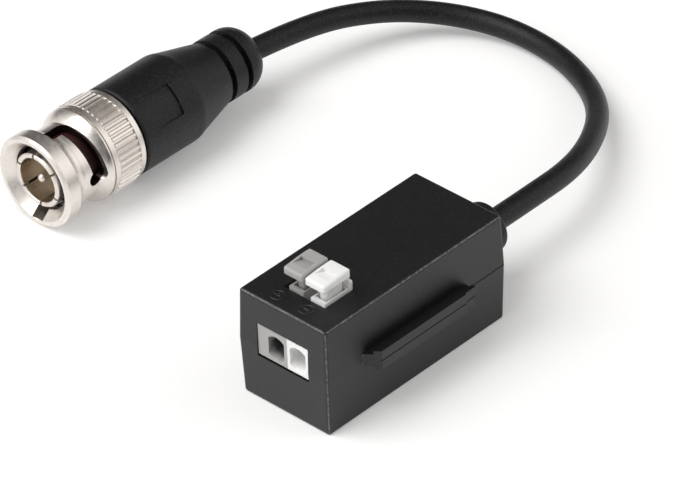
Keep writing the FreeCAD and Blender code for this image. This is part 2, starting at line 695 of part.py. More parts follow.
def lever(x):
    """A T-shaped push lever: paddle with a blind screwdriver notch, stem and foot."""
    z0 = PADDLE_BOTTOM
    z1 = z0 + PADDLE_THICKNESS
    notch_y = PADDLE_FRONT + NOTCH_BACK
    slope_end = notch_y - NOTCH_LENGTH
    slope_top = z1 - PADDLE_FRONT_DROP * NOTCH_LENGTH / NOTCH_BACK
    left = x - PADDLE_WIDTH / 2
    paddle = prism_x([(PADDLE_FRONT, z0), (PADDLE_BACK, z0), (PADDLE_BACK, z1), (notch_y, z1),
                      (PADDLE_FRONT, z1 - PADDLE_FRONT_DROP)], left, left + PADDLE_WIDTH)
    paddle = softened(paddle, PADDLE_RADIUS, lambda edge: not lies_at(edge, notch_y, z1))
    wedge = [(slope_end, slope_top), (notch_y, z1 - NOTCH_DEPTH), (notch_y, z1 + 1), (slope_end, z1 + 1)]
    notch = prism_x(wedge, left + NOTCH_RIM, left + PADDLE_WIDTH - NOTCH_RIM)
    stem = box(x - STEM_WIDTH / 2, x + STEM_WIDTH / 2, STEM_FRONT, STEM_BACK,
               FOOT_TOP - SUNK, z0 + PADDLE_RADIUS)
    stem = softened(stem, STEM_WIDTH / 3, lambda edge: runs_along(edge, Vector(0, 0, 1)))
    top = paddle.fuse(stem).removeSplitter()
    top = softened(top, STEM_ROOT_RADIUS, lambda edge: at_stem_root(edge, x))
    foot = box(x - FOOT_WIDTH / 2, x + FOOT_WIDTH / 2, STEM_FRONT - FOOT_OVERHANG, STEM_BACK + FOOT_OVERHANG,
               FOOT_BOTTOM, FOOT_TOP)
    foot = softened(foot, FOOT_THICKNESS / 3,
                    lambda edge: runs_along(edge, Vector(1, 0, 0)) and edge.CenterOfMass.z < FOOT_TOP - 0.1)
    return top.cut(notch).fuse(foot).removeSplitter()


def clamp_spring(x):
    """A bent leaf: it stands on the back wall, passes under the foot and grips the strip."""
    half = SPRING_THICKNESS / 2
    top = FOOT_BOTTOM - SPRING_GAP - half
    back = CAVITY_BACK - SPRING_GAP - half
    front = CAVITY_FRONT + SPRING_GAP + half
    points = [
        (x, back, STRIP_TOP + SPRING_HEEL_GAP),
        (x, back, top),
        (x, front + SPRING_KNEE_GAP, top),
        (x, back - SPRING_TIP_SETBACK, STRIP_TOP + half + SPRING_TIP_GAP),
    ]
    return bent_strip(points, SPRING_BEND_RADIUS, SPRING_THICKNESS, SPRING_WIDTH)


def contact_strip(x):
    """A tinned strip under the wire, with a pin that goes down through the board."""
    middle = STRIP_TOP - STRIP_THICKNESS / 2
    pin_y = CAVITY_BACK - STRIP_THICKNESS
    points = [(x, CAVITY_FRONT + MODULE_GAP, middle), (x, pin_y, middle), (x, pin_y, BOARD_TOP + SUNK)]
    strip = bent_strip(points, STRIP_THICKNESS, STRIP_THICKNESS, STRIP_WIDTH)
    pin = box(x - PIN_WIDTH / 2, x + PIN_WIDTH / 2, pin_y - STRIP_THICKNESS / 2, pin_y + STRIP_THICKNESS / 2,
              BOARD_HEIGHT - PIN_BELOW_BOARD, BOARD_TOP + 2 * SUNK)
    return strip.fuse(pin).removeSplitter()


def header_pin_places():
    reach = HEADER_SIZE / 2 - HEADER_PIN_INSET
    return [(CORE_X + i * reach, CORE_Y + j * reach) for i in (-1, 1) for j in (-1, 1)]


def circuit_board():
    board = box(BOARD_LEFT, BOARD_RIGHT, BOARD_FRONT, BOARD_BACK, BOARD_HEIGHT, BOARD_TOP)
    board = softened(board, BOARD_CORNER_RADIUS, lambda edge: runs_along(edge, Vector(0, 0, 1)))
    holes = []
    for x in POLE_XS.values():
        holes.append(rod_z(x, CAVITY_BACK - STRIP_THICKNESS, PIN_WIDTH + 4 * HOLE_CLEARANCE,
                           BOARD_HEIGHT - 1, BOARD_TOP + 1))
    for x, y in post_places():
        if y > 0:
            holes.append(rod_z(x, y, PEG_DIAMETER + 2 * HOLE_CLEARANCE, BOARD_HEIGHT - 1, BOARD_TOP + 1))
    for x, y in header_pin_places():
        holes.append(rod_z(x, y, HEADER_PIN_DIAMETER + 2 * HOLE_CLEARANCE, BOARD_HEIGHT - 1, BOARD_TOP + 1))
    for x, y in (centre_lead_place(), shield_lead_place()):
        holes.append(rod_z(x, y, CORE_WIRE_DIAMETER + 2 * HOLE_CLEARANCE, BOARD_HEIGHT - 1, BOARD_TOP + 1))
    return board.cut(holes)


def transformer_header():
    half = HEADER_SIZE / 2
    header = box(CORE_X - half, CORE_X + half, CORE_Y - half, CORE_Y + half,
                 BOARD_TOP, BOARD_TOP + HEADER_HEIGHT)
    header = softened(header, HEADER_CORNER_RADIUS, lambda edge: runs_along(edge, Vector(0, 0, 1)))
    pins = [rod_z(x, y, HEADER_PIN_DIAMETER, BOARD_HEIGHT - PIN_BELOW_BOARD, BOARD_TOP + HEADER_HEIGHT / 2)
            for x, y in header_pin_places()]
    return header.fuse(pins).removeSplitter()


def core_bottom():
    return BOARD_TOP + HEADER_HEIGHT + WIRE_DIAMETER


def transformer_core():
    core = tube(CORE_DIAMETER, CORE_HOLE_DIAMETER, core_bottom(), core_bottom() + CORE_HEIGHT)
    core.translate(Vector(CORE_X, CORE_Y, 0))
    return core


def winding(first):
    """Every second turn of the two-wire winding, each a closed loop round the core."""
    turns = []
    for i in range(first, TURNS, 2):
        half = WIRE_DIAMETER / 2
        outer = box(CORE_HOLE_DIAMETER / 2 - WIRE_DIAMETER, CORE_DIAMETER / 2 + WIRE_DIAMETER, -half, half,
                    core_bottom() - WIRE_DIAMETER, core_bottom() + CORE_HEIGHT + WIRE_DIAMETER)
        inner = box(CORE_HOLE_DIAMETER / 2 - WIRE_GAP, CORE_DIAMETER / 2 + WIRE_GAP, -half, half,
                    core_bottom(), core_bottom() + CORE_HEIGHT)
        turn = outer.cut(inner)
        turn.rotate(Vector(0, 0, 0), Vector(0, 0, 1), 360 * i / TURNS)
        turn.translate(Vector(CORE_X, CORE_Y, 0))
        turns.append(turn)
    return Part.Compound(turns)


def component_row():
    """Where the row of parts behind the transformer starts."""
    return CORE_Y + HEADER_SIZE / 2 + COMPONENT_GAP


def surge_diode():
    x0 = BOARD_LEFT + COMPONENT_MARGIN
    y0 = component_row()
    body = box(x0, x0 + DIODE_WIDTH, y0, y0 + DIODE_LENGTH, BOARD_TOP, BOARD_TOP + DIODE_HEIGHT)
    top_edges = [edge for edge in body.Edges if edge.CenterOfMass.z > BOARD_TOP + DIODE_HEIGHT - 0.1]
    body = body.makeChamfer(COMPONENT_CHAMFER, top_edges)
    inset = DIODE_WIDTH / 5
    tabs = box(x0 + inset, x0 + DIODE_WIDTH - inset, y0 - inset, y0 + DIODE_LENGTH + inset,
               BOARD_TOP, BOARD_TOP + DIODE_HEIGHT / 10)
    return body.fuse(tabs).removeSplitter()


def filter_capacitor():
    x = BOARD_RIGHT - CAPACITOR_DIAMETER / 2 - COMPONENT_MARGIN
    y = component_row() + CAPACITOR_DIAMETER / 2
    top = BOARD_TOP + CAPACITOR_HEIGHT
    body = rod_z(x, y, CAPACITOR_DIAMETER, BOARD_TOP, top)
    rim = [edge for edge in body.Edges if edge.CenterOfMass.z > top - 0.1 and len(edge.Vertexes) == 1]
    return body.makeChamfer(COMPONENT_CHAMFER, rim)


def damping_resistor():
    """A small chip resistor midway between the diode and the capacitor."""
    diode_side = BOARD_LEFT + COMPONENT_MARGIN + DIODE_WIDTH
    capacitor_side = BOARD_RIGHT - COMPONENT_MARGIN - CAPACITOR_DIAMETER
    x = (diode_side + capacitor_side - RESISTOR_WIDTH) / 2
    y = component_row()
    return box(x, x + RESISTOR_WIDTH, y, y + RESISTOR_LENGTH, BOARD_TOP, BOARD_TOP + RESISTOR_HEIGHT)


def cable_gland():
    """A grommet moulded on the lead: collar inside, groove in the wall, boss outside."""
    wall_in = BACK - WALL - GLAND_SEAT_GAP - DRAFT * (
        GLAND_DIAMETER / 2 + abs(CABLE_EXIT_HEIGHT - PARTING_HEIGHT))
    wall_out = BACK + GLAND_SEAT_GAP
    z = CABLE_EXIT_HEIGHT
    boss = rod_y(0, z, GLAND_DIAMETER, wall_out, GLAND_END)
    boss = softened(boss, GLAND_EDGE_RADIUS,
                    lambda edge: abs(edge.CenterOfMass.y - GLAND_END) < 1e-6 and len(edge.Vertexes) == 1)
    neck = rod_y(0, z, GLAND_GROOVE_DIAMETER, wall_in - SUNK, wall_out + SUNK)
    collar = rod_y(0, z, GLAND_DIAMETER, wall_in - GLAND_INNER_LENGTH, wall_in)
    grommet = boss.fuse([neck, collar]).removeSplitter()
    return grommet.cut(rod_y(0, z, CABLE_DIAMETER, 0, GLAND_END + 1))


def tail_start():
    return BACK - TAIL_INSIDE


def cable_tail():
    """The lead's stripped end in the box: jacket through the gland, then dielectric."""
    jacket = rod_y(0, CABLE_EXIT_HEIGHT, CABLE_DIAMETER, tail_start(), GLAND_END)
    dielectric = rod_y(0, CABLE_EXIT_HEIGHT, DIELECTRIC_DIAMETER, tail_start() - STRIPPED_LENGTH, tail_start())
    return jacket.fuse(dielectric).removeSplitter()


def centre_lead_place():
    return (0.0, tail_start() - STRIPPED_LENGTH - WIRE_RUN)


def shield_lead_place():
    return (SHIELD_LEAD_X, tail_start() - SHIELD_RUN)


def round_wire(points, diameter):
    path, _ = bent_path([Vector(*point) for point in points], lambda run, half_turn: diameter)
    start = Vector(*points[0])
    along = Vector(*points[1]).sub(start)
    circle = Part.Wire(Part.makeCircle(diameter / 2, start, along))
    return path.makePipeShell([circle], True, False)


def centre_lead():
    x, y = centre_lead_place()
    points = [(x, tail_start() - STRIPPED_LENGTH, CABLE_EXIT_HEIGHT), (x, y, CABLE_EXIT_HEIGHT),
              (x, y, BOARD_HEIGHT - PIN_BELOW_BOARD)]
    return round_wire(points, CORE_WIRE_DIAMETER)


def shield_lead():
    x, y = shield_lead_place()
    start_x = CABLE_DIAMETER / 2 - CORE_WIRE_DIAMETER / 2
    points = [(start_x, tail_start(), CABLE_EXIT_HEIGHT), (start_x, y, CABLE_EXIT_HEIGHT),
              (x, y, CABLE_EXIT_HEIGHT), (x, y, BOARD_HEIGHT - PIN_BELOW_BOARD)]
    return round_wire(points, CORE_WIRE_DIAMETER)


def in_plug(solid):
    """Carries a piece from the plug's own axis, along Z, to where the plug lies."""
    return solid.transformed(PLUG_PLACE.Matrix)


def ring_outline():
    """Half section of the coupling ring, with the base of its knurl."""
    rim = KNURL_RADIUS - RING_RIM_STEP
    mouth = rim - RING_FACE_WIDTH
    neck = NECK_RADIUS
    band = BAND_RADIUS
    groove = band - RING_GROOVE_DEPTH
    knurl = KNURL_RADIUS - KNURL_DEPTH
    back = KNURL_RADIUS - RING_BACK_STEP
    bore = JACK_BORE_RADIUS
    chamber = CHAMBER_DIAMETER / 2
    back_edge = RING_LENGTH - RING_BACK_CHAMFER
    rim_bend = (neck + RING_FILLET_BEND_OUT * (rim - neck),
                RING_RIM_LENGTH + RING_FILLET_BEND_ALONG * RING_FILLET_LENGTH)
    dome_bend = (neck + RING_DOME_BEND_OUT * (band - neck), NECK_END + RING_DOME_BEND_ALONG * RING_DOME_LENGTH)
    return [
        segment((mouth, 0), (rim - RING_RIM_CHAMFER, 0)),
        segment((rim - RING_RIM_CHAMFER, 0), (rim, RING_RIM_CHAMFER)),
        segment((rim, RING_RIM_CHAMFER), (rim, RING_RIM_LENGTH)),
        arc((rim, RING_RIM_LENGTH), rim_bend, (neck, NECK_START)),
        segment((neck, NECK_START), (neck, NECK_END)),
        arc((neck, NECK_END), dome_bend, (band, SHOULDER_START)),
        segment((band, SHOULDER_START), (band, SHOULDER_END)),
        segment((band, SHOULDER_END), (groove, SHOULDER_END)),
        segment((groove, SHOULDER_END), (groove, BAND_START)),
        segment((groove, BAND_START), (band, BAND_START)),
        segment((band, BAND_START), (band, KNURL_START)),
        segment((band, KNURL_START), (knurl, KNURL_START)),
        segment((knurl, KNURL_START), (knurl, KNURL_END)),
        segment((knurl, KNURL_END), (back, KNURL_END)),
        segment((back, KNURL_END), (back, back_edge)),
        segment((back, back_edge), (back - RING_BACK_CHAMFER, RING_LENGTH)),
        segment((back - RING_BACK_CHAMFER, RING_LENGTH), (chamber, RING_LENGTH)),
        segment((chamber, RING_LENGTH), (chamber, CHAMBER_START)),
        segment((chamber, CHAMBER_START), (bore, CHAMBER_START)),
        segment((bore, CHAMBER_START), (bore, RING_MOUTH_DEPTH)),
        segment((bore, RING_MOUTH_DEPTH), (mouth, 0)),
    ]


def rib_outline(radius, z_margin, share):
    """A rib's outline on a plane square to its radius."""
    half = share * math.pi * KNURL_DIAMETER / KNURL_COUNT / 2
    z0 = KNURL_START + z_margin
    z1 = KNURL_END - z_margin
    corners = [Vector(radius, -half, z0), Vector(radius, half, z0), Vector(radius, half, z1),
               Vector(radius, -half, z1)]
    return Part.makePolygon(corners + corners[:1])


def knurl_ribs():
    """Straight ribs with sloping sides and ends, spaced evenly round the grip."""
    sunk = KNURL_DEPTH / 4
    root = rib_outline(KNURL_RADIUS - KNURL_DEPTH - sunk, -sunk, KNURL_ROOT_SHARE)
    tip = rib_outline(KNURL_RADIUS, KNURL_DEPTH / 2, KNURL_TIP_SHARE)
    rib = Part.makeLoft([root, tip], True, True)
    ribs = []
    for i in range(KNURL_COUNT):
        copy = rib.copy()
        copy.rotate(Vector(0, 0, 0), Vector(0, 0, 1), 360 * i / KNURL_COUNT)
        ribs.append(copy)
    return ribs


def ends_cam(edge):
    """Whether an edge stands radially at the far end of a cam slot."""
    start, end = edge.Vertexes[0].Point, edge.Vertexes[-1].Point
    turn = math.degrees(math.atan2(start.y, start.x))
    return abs(turn - BAYONET_TURN) < 0.1 and abs(start.z - end.z) < 0.01


def bayonet_slots():
    """Two cam slots: entry groove from the mouth, a rising part turn and a latch."""
    middle = NECK_RADIUS
    depth = 2 * (KNURL_RADIUS - NECK_RADIUS)
    width = BAYONET_SLOT_WIDTH
    pitch = BAYONET_RISE * 360 / BAYONET_TURN
    helix = Part.makeHelix(pitch, BAYONET_RISE, middle)
    section = Part.makePolygon([
        Vector(middle - depth / 2, 0, -width / 2),
        Vector(middle + depth, 0, -width / 2),
        Vector(middle + depth, 0, width / 2),
        Vector(middle - depth / 2, 0, width / 2),
        Vector(middle - depth / 2, 0, -width / 2),
    ])
    cam = helix.makePipeShell([section], True, True)
    cam = softened(cam, BAYONET_END_RADIUS, ends_cam)

    def radial_hole(angle, height, diameter):
        hole = Part.makeCylinder(diameter / 2, depth * 1.5, Vector(middle - depth / 2, 0, height), Vector(1, 0, 0))
        hole.rotate(Vector(0, 0, 0), Vector(0, 0, 1), angle)
        return hole

    start = NECK_START + BAYONET_IN_NECK
    groove = box(0, NECK_RADIUS + BAYONET_GROOVE_BREAKOUT, -width / 2, width / 2, -start - 1, 0)
    latch = radial_hole(BAYONET_LATCH_ANGLE, BAYONET_RISE - BAYONET_LATCH_BACK, width)
    slot = cam.fuse([radial_hole(0, 0, width), latch, groove])
    slot.translate(Vector(0, 0, start))
    slots = []
    for turn in (0, 180):
        copy = slot.copy()
        copy.rotate(Vector(0, 0, 0), Vector(0, 0, 1), BAYONET_START_ANGLE + turn)
        slots.append(copy)
    return slots


def coupling_ring():
    ring = turned_edges(ring_outline())
    ring = ring.fuse(knurl_ribs())
    clip_groove = rod_z(0, 0, CLIP_DIAMETER + 2 * CLIP_CLEARANCE, CLIP_START - CLIP_CLEARANCE,
                        CLIP_START + CLIP_THICKNESS + CLIP_CLEARANCE)
    return ring.cut(bayonet_slots() + [clip_groove]).removeSplitter()


def retaining_clip():
    """The split ring in the coupling ring's groove, behind the plug body's flange."""
    clip = tube(CLIP_DIAMETER, BARREL_DIAMETER + 2 * CLIP_CLEARANCE, CLIP_START, CLIP_START + CLIP_THICKNESS)
    gap = box(0, CLIP_DIAMETER, -CLIP_GAP / 2, CLIP_GAP / 2, CLIP_START - 1, CLIP_START + 2)
    return clip.cut(gap)


def spring_washer():
    """A wave washer: the band that is left between round cuts from both faces."""
    inner = BARREL_DIAMETER + 2 * WASHER_GAP
    washer = tube(FLANGE_DIAMETER, inner, WASHER_START, WASHER_START + WASHER_HEIGHT)
    rise = WASHER_HEIGHT - WASHER_THICKNESS
    half_wave = math.pi * FLANGE_DIAMETER / (4 * WASHER_WAVES)
    radius = (half_wave ** 2 + rise ** 2) / (2 * rise)
    cuts = []
    for i in range(2 * WASHER_WAVES):
        z = WASHER_START + WASHER_THICKNESS + radius if i % 2 == 0 else WASHER_START + rise - radius
        cut = Part.makeCylinder(radius, FLANGE_DIAMETER, Vector(0, 0, z), Vector(1, 0, 0))
        cut.rotate(Vector(0, 0, 0), Vector(0, 0, 1), 180 * i / WASHER_WAVES)
        cuts.append(cut)
    return washer.cut(cuts)


def plug_body():
    """Turned body: flange, barrel for the coupling ring, and the barrel for the crimp."""
    flange = FLANGE_DIAMETER / 2
    barrel = BARREL_DIAMETER / 2
    crimp = CRIMP_BARREL_DIAMETER / 2
    seat = CONTACT_DIAMETER / 2 - CONTACT_STEP_DEPTH
    bore = BODY_BORE_DIAMETER / 2
    lead = DIELECTRIC_DIAMETER / 2 + CRIMP_BORE_CLEARANCE
    return turned([
        (seat, FLANGE_START),
        (flange, FLANGE_START),
        (flange, WASHER_START),
        (barrel, WASHER_START),
        (barrel, BARREL_END),
        (crimp, BARREL_END),
        (crimp, CRIMP_BARREL_END),
        (lead, CRIMP_BARREL_END),
        (lead, BARREL_END),
        (bore, BARREL_END),
        (bore, CONTACT_END),
        (seat, CONTACT_END),
    ])


def outer_contact():
    """The slit sleeve that springs into the jack."""
    outer = CONTACT_DIAMETER / 2
    inner = outer - CONTACT_WALL
    seat = outer - CONTACT_STEP_DEPTH
    sleeve = turned([
        (inner + CONTACT_BORE_CHAMFER, CONTACT_START),
        (outer - CONTACT_LIP_CHAMFER, CONTACT_START),
        (outer, CONTACT_START + CONTACT_LIP_CHAMFER),
        (outer, GASKET_START),
        (seat, GASKET_START),
        (seat, CONTACT_END),
        (inner, CONTACT_END),
        (inner, CONTACT_START + CONTACT_BORE_CHAMFER),
    ])
    slits = []
    for i in range(CONTACT_SLITS):
        slit = box(0, CONTACT_DIAMETER, -CONTACT_SLIT_WIDTH / 2, CONTACT_SLIT_WIDTH / 2,
                   CONTACT_START - 1, CONTACT_SLIT_END)
        slit.rotate(Vector(0, 0, 0), Vector(0, 0, 1), CONTACT_SLIT_ANGLE + 360 * i / CONTACT_SLITS)
        slits.append(slit)
    return sleeve.cut(slits)


def insulator():
    inner = CONTACT_DIAMETER / 2 - CONTACT_WALL
    pin = DIELECTRIC_DIAMETER / 2
    bore = BODY_BORE_DIAMETER / 2
    return turned([
        (pin, INSULATOR_START),
        (inner - INSULATOR_CHAMFER, INSULATOR_START),
        (inner, INSULATOR_START + INSULATOR_CHAMFER),
        (inner, CONTACT_END),
        (bore, CONTACT_END),
        (bore, BARREL_END),
        (pin, BARREL_END),
    ])


def centre_pin():
    """Round-nosed contact with a thicker back part, held in the bore of the insulator."""
    radius = CENTRE_PIN_DIAMETER / 2
    back = DIELECTRIC_DIAMETER / 2
    nose = CENTRE_PIN_START + radius
    diagonal = radius * math.sqrt(0.5)
    return turned_edges([
        segment((0, CENTRE_PIN_START), (0, CENTRE_PIN_END)),
        segment((0, CENTRE_PIN_END), (back, CENTRE_PIN_END)),
        segment((back, CENTRE_PIN_END), (back, INSULATOR_START)),
        segment((back, INSULATOR_START), (radius, INSULATOR_START)),
        segment((radius, INSULATOR_START), (radius, nose)),
        arc((radius, nose), (diagonal, nose - diagonal), (0, CENTRE_PIN_START)),
    ])


def gasket():
    """The soft red sleeve against the flange, seen through the cam slots."""
    inner = CONTACT_DIAMETER / 2 - CONTACT_STEP_DEPTH
    outer = GASKET_DIAMETER / 2
    return turned([
        (inner, GASKET_START),
        (outer - GASKET_CHAMFER, GASKET_START),
        (outer, GASKET_START + GASKET_CHAMFER),
        (outer, FLANGE_START),
        (inner, FLANGE_START),
    ])


def ferrule_radii():
    wide = CRIMP_BARREL_DIAMETER / 2 + BRAID_THICKNESS
    narrow = CABLE_DIAMETER / 2
    return wide, narrow


def crimp_ferrule():
    wide, narrow = ferrule_radii()
    return turned([
        (wide, FERRULE_START),
        (wide + FERRULE_WALL, FERRULE_START),
        (wide + FERRULE_WALL, FERRULE_NECK + FERRULE_WALL),
        (narrow + FERRULE_WALL, FERRULE_NECK + 2 * FERRULE_WALL),
        (narrow + FERRULE_WALL, FERRULE_END),
        (narrow, FERRULE_END),
        (narrow, FERRULE_NECK + FERRULE_WALL),
        (wide, FERRULE_NECK),
    ])


def braid():
    """The lead's shield, laid over the crimp barrel under the ferrule."""
    wide, narrow = ferrule_radii()
    return turned([
        (CRIMP_BARREL_DIAMETER / 2, FERRULE_START),
        (wide, FERRULE_START),
        (wide, FERRULE_NECK),
        (narrow, FERRULE_NECK + FERRULE_WALL),
        (narrow - BRAID_THICKNESS, FERRULE_NECK + FERRULE_WALL),
        (CRIMP_BARREL_DIAMETER / 2, FERRULE_NECK),
    ])


def lead_joint():
    """Where the free lead takes over from the lead in the grip, just outside it."""
    bend = PLUG_PLACE.multVec(Vector(0, 0, LEAD_BEND))
    along = Vector(*CABLE_ROUTE[-1]).sub(bend)
    along.normalize()
    return bend + along * (BOOT_END - LEAD_BEND + LEAD_PROUD)


def jacket_in_grip():
    """The jacket from the crimp: it leans towards its route before it leaves the grip."""
    points = [Vector(0, 0, FERRULE_NECK + FERRULE_WALL), Vector(0, 0, LEAD_BEND),
              PLUG_PLACE.inverse().multVec(lead_joint())]
    path, _ = bent_path(points, lambda run, half_turn: LEAD_BEND_RADIUS)
    circle = Part.Wire(Part.makeCircle(CABLE_DIAMETER / 2, points[0], Vector(0, 0, 1)))
    return path.makePipeShell([circle], True, False)


def cable_end():
    """The lead inside the moulded grip: jacket up to the crimp, then dielectric."""
    dielectric = rod_z(0, 0, DIELECTRIC_DIAMETER, CENTRE_PIN_END, FERRULE_NECK + FERRULE_WALL)
    return jacket_in_grip().fuse(dielectric).removeSplitter()


def boot_outline():
    front = BOOT_RADIUS
    tail = BOOT_TAIL_DIAMETER / 2
    shoulder = front - BOOT_SHOULDER_DROP
    bend = (front - BOOT_SHOULDER_BEND_OUT * BOOT_SHOULDER_DROP, (BOOT_CYLINDER_END + BOOT_SHOULDER_END) / 2)
    groove = tail - BOOT_GROOVE_DEPTH
    first_end = BOOT_CONE_END + BOOT_GROOVE_WIDTH
    second = first_end + BOOT_RIB_LENGTH
    second_end = second + BOOT_GROOVE_WIDTH
    round_start = BOOT_END - BOOT_END_RADIUS
    end_flat = tail - BOOT_END_RADIUS
    diagonal = BOOT_END_RADIUS * math.sqrt(0.5)
    return [
        segment((0, BOOT_START), (front - BOOT_EDGE_CHAMFER, BOOT_START)),
        segment((front - BOOT_EDGE_CHAMFER, BOOT_START), (front, BOOT_START + BOOT_EDGE_CHAMFER)),
        segment((front, BOOT_START + BOOT_EDGE_CHAMFER), (front, BOOT_CYLINDER_END)),
        arc((front, BOOT_CYLINDER_END), bend, (shoulder, BOOT_SHOULDER_END)),
        segment((shoulder, BOOT_SHOULDER_END), (tail, BOOT_CONE_END)),
        segment((tail, BOOT_CONE_END), (groove, BOOT_CONE_END)),
        segment((groove, BOOT_CONE_END), (groove, first_end)),
        segment((groove, first_end), (tail, first_end)),
        segment((tail, first_end), (tail, second)),
        segment((tail, second), (groove, second)),
        segment((groove, second), (groove, second_end)),
        segment((groove, second_end), (tail, second_end)),
        segment((tail, second_end), (tail, round_start)),
        arc((tail, round_start), (end_flat + diagonal, round_start + diagonal), (end_flat, BOOT_END)),
        segment((end_flat, BOOT_END), (0, BOOT_END)),
        segment((0, BOOT_END), (0, BOOT_START)),
    ]


def label_recess():
    """A blank recess that deepens towards the lead and fades out at the plug."""
    radius = BOOT_RADIUS
    start = BOOT_START + PANEL_OFFSET
    block = box(0, radius + 1, -PANEL_WIDTH / 2, PANEL_WIDTH / 2, start, start + PANEL_LENGTH)
    core = Part.makeCone(radius, radius - PANEL_DEPTH, PANEL_LENGTH, Vector(0, 0, start))
    recess = block.cut(core)
    recess.rotate(Vector(0, 0, 0), Vector(0, 0, 1), PANEL_ANGLE)
    return recess


def moulded_grip():
    """The overmoulded grip: it fills the space round the barrel, crimp and lead."""
    wide, narrow = ferrule_radii()
    inside = turned([
        (0, BOOT_START - 1),
        (BARREL_DIAMETER / 2, BOOT_START - 1),
        (BARREL_DIAMETER / 2, BARREL_END),
        (CRIMP_BARREL_DIAMETER / 2, BARREL_END),
        (CRIMP_BARREL_DIAMETER / 2, FERRULE_START),
        (wide + FERRULE_WALL, FERRULE_START),
        (wide + FERRULE_WALL, FERRULE_NECK + FERRULE_WALL),
        (narrow + FERRULE_WALL, FERRULE_NECK + 2 * FERRULE_WALL),
        (narrow + FERRULE_WALL, FERRULE_END),
        (0, FERRULE_END),
    ])
    return turned_edges(boot_outline()).cut([inside, jacket_in_grip(), label_recess()])


def cable():
    """The free lead: straight runs and tangent arcs, from the gland to the grip."""
    points = [Vector(0, GLAND_END + run, CABLE_EXIT_HEIGHT) for run in (0, CABLE_START_RUN)]
    points += [Vector(*point) for point in CABLE_ROUTE]
    points.append(lead_joint())
    path, radii = bent_path(points, lambda run, half_turn: CABLE_ARC_SHARE * run / math.tan(half_turn))
    circle = Part.Wire(Part.makeCircle(CABLE_DIAMETER / 2, points[0], points[1].sub(points[0])))
    lead = path.makePipeShell([circle], True, False)
    runs = [b.sub(a).Length for a, b in zip(points, points[1:])]
    print("lead length", round(path.Length, 1), "runs", [round(run, 1) for run in runs])
    print("lead radii", [round(radius, 1) for radius in radii])
    print("lead volume", round(lead.Volume, 2), "against",
          round(math.pi * (CABLE_DIAMETER / 2) ** 2 * path.Length, 2))
    return lead


PIECES = {
    "upper_shell": upper_shell(),
    "lower_shell": lower_shell(),
    "terminal_plus": terminal_plus(),
    "terminal_minus": terminal_minus(),
    "circuit_board": circuit_board(),
    "transformer_header": transformer_header(),
    "transformer_core": transformer_core(),
    "winding_a": winding(0),
    "winding_b": winding(1),
    "surge_diode": surge_diode(),
    "filter_capacitor": filter_capacitor(),
    "damping_resistor": damping_resistor(),
    "cable_gland": cable_gland(),
    "cable_tail": cable_tail(),
    "centre_lead": centre_lead(),
    "shield_lead": shield_lead(),
    "cable": cable(),
}
for pole, pole_x in POLE_XS.items():
    PIECES["lever_" + pole] = lever(pole_x)
    PIECES["clamp_spring_" + pole] = clamp_spring(pole_x)
    PIECES["contact_strip_" + pole] = contact_strip(pole_x)

PLUG_PIECES = {
    "coupling_ring": coupling_ring(),
    "retaining_clip": retaining_clip(),
    "spring_washer": spring_washer(),
    "plug_body": plug_body(),
    "outer_contact": outer_contact(),
    "insulator": insulator(),
    "centre_pin": centre_pin(),
    "gasket": gasket(),
    "crimp_ferrule": crimp_ferrule(),
    "shield_braid": braid(),
    "cable_end": cable_end(),
    "moulded_grip": moulded_grip(),
}
for name, piece in PLUG_PIECES.items():
    PIECES[name] = in_plug(piece)

os.makedirs("parts", exist_ok=True)
for name, piece in PIECES.items():
    print(name, "solids", len(piece.Solids), "volume", round(piece.Volume, 2), "valid", piece.isValid())
    piece.exportStep("parts/" + name + ".step")
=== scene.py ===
# %% [markdown]
# # A video balun, dressed for the camera
# The object is a palm-sized adapter: a black two-shell box with a push-lever terminal, a thin
# coaxial lead, and a nickel-plated bayonet plug with a moulded grip. The construction arrives
# as a fixed frame of finished solids, in metres. This script adds the finishes, the flexible
# lead, and the small marks that only show, and never moves a solid.

# %% Load the frame
import json
import math

import bmesh
import bpy
from mathutils import Matrix, Vector


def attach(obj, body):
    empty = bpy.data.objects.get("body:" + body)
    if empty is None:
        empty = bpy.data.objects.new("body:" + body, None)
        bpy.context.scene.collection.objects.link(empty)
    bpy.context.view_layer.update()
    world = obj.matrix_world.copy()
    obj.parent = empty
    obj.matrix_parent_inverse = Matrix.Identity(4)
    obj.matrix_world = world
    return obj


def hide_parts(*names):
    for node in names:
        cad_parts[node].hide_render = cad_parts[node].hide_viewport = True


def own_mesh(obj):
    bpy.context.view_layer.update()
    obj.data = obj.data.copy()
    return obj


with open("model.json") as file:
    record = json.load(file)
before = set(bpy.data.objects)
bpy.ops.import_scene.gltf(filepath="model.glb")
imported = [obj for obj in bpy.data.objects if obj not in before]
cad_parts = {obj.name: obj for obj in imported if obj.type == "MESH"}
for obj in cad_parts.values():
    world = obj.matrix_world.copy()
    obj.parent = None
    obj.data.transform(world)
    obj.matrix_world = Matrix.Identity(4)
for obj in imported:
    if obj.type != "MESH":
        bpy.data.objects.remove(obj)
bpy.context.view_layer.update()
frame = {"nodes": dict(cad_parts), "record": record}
NODES = frame["nodes"]
MM = 0.001
UP = Vector((0, 0, 1))
print("frame nodes:", len(NODES))

# %% [markdown]
# ## The camera
# The photograph was taken with a long lens from above the front right corner of the box, so
# edges that run back hardly converge. A camera can be typed in as a matrix, but azimuth,
# elevation and roll say what a photographer would say, and they are easy to change. The focal
# length follows from how large the object is in the picture at that distance.

# %% Camera
AZIMUTH = math.radians(44.47)
ELEVATION = math.radians(36.17)
ROLL = math.radians(-2.45)
CAMERA_DISTANCE = 0.8772
CAMERA_TARGET = Vector((-2.98, -2.36, 18.13)) * MM
FOCAL_LENGTH_MM = 337.5


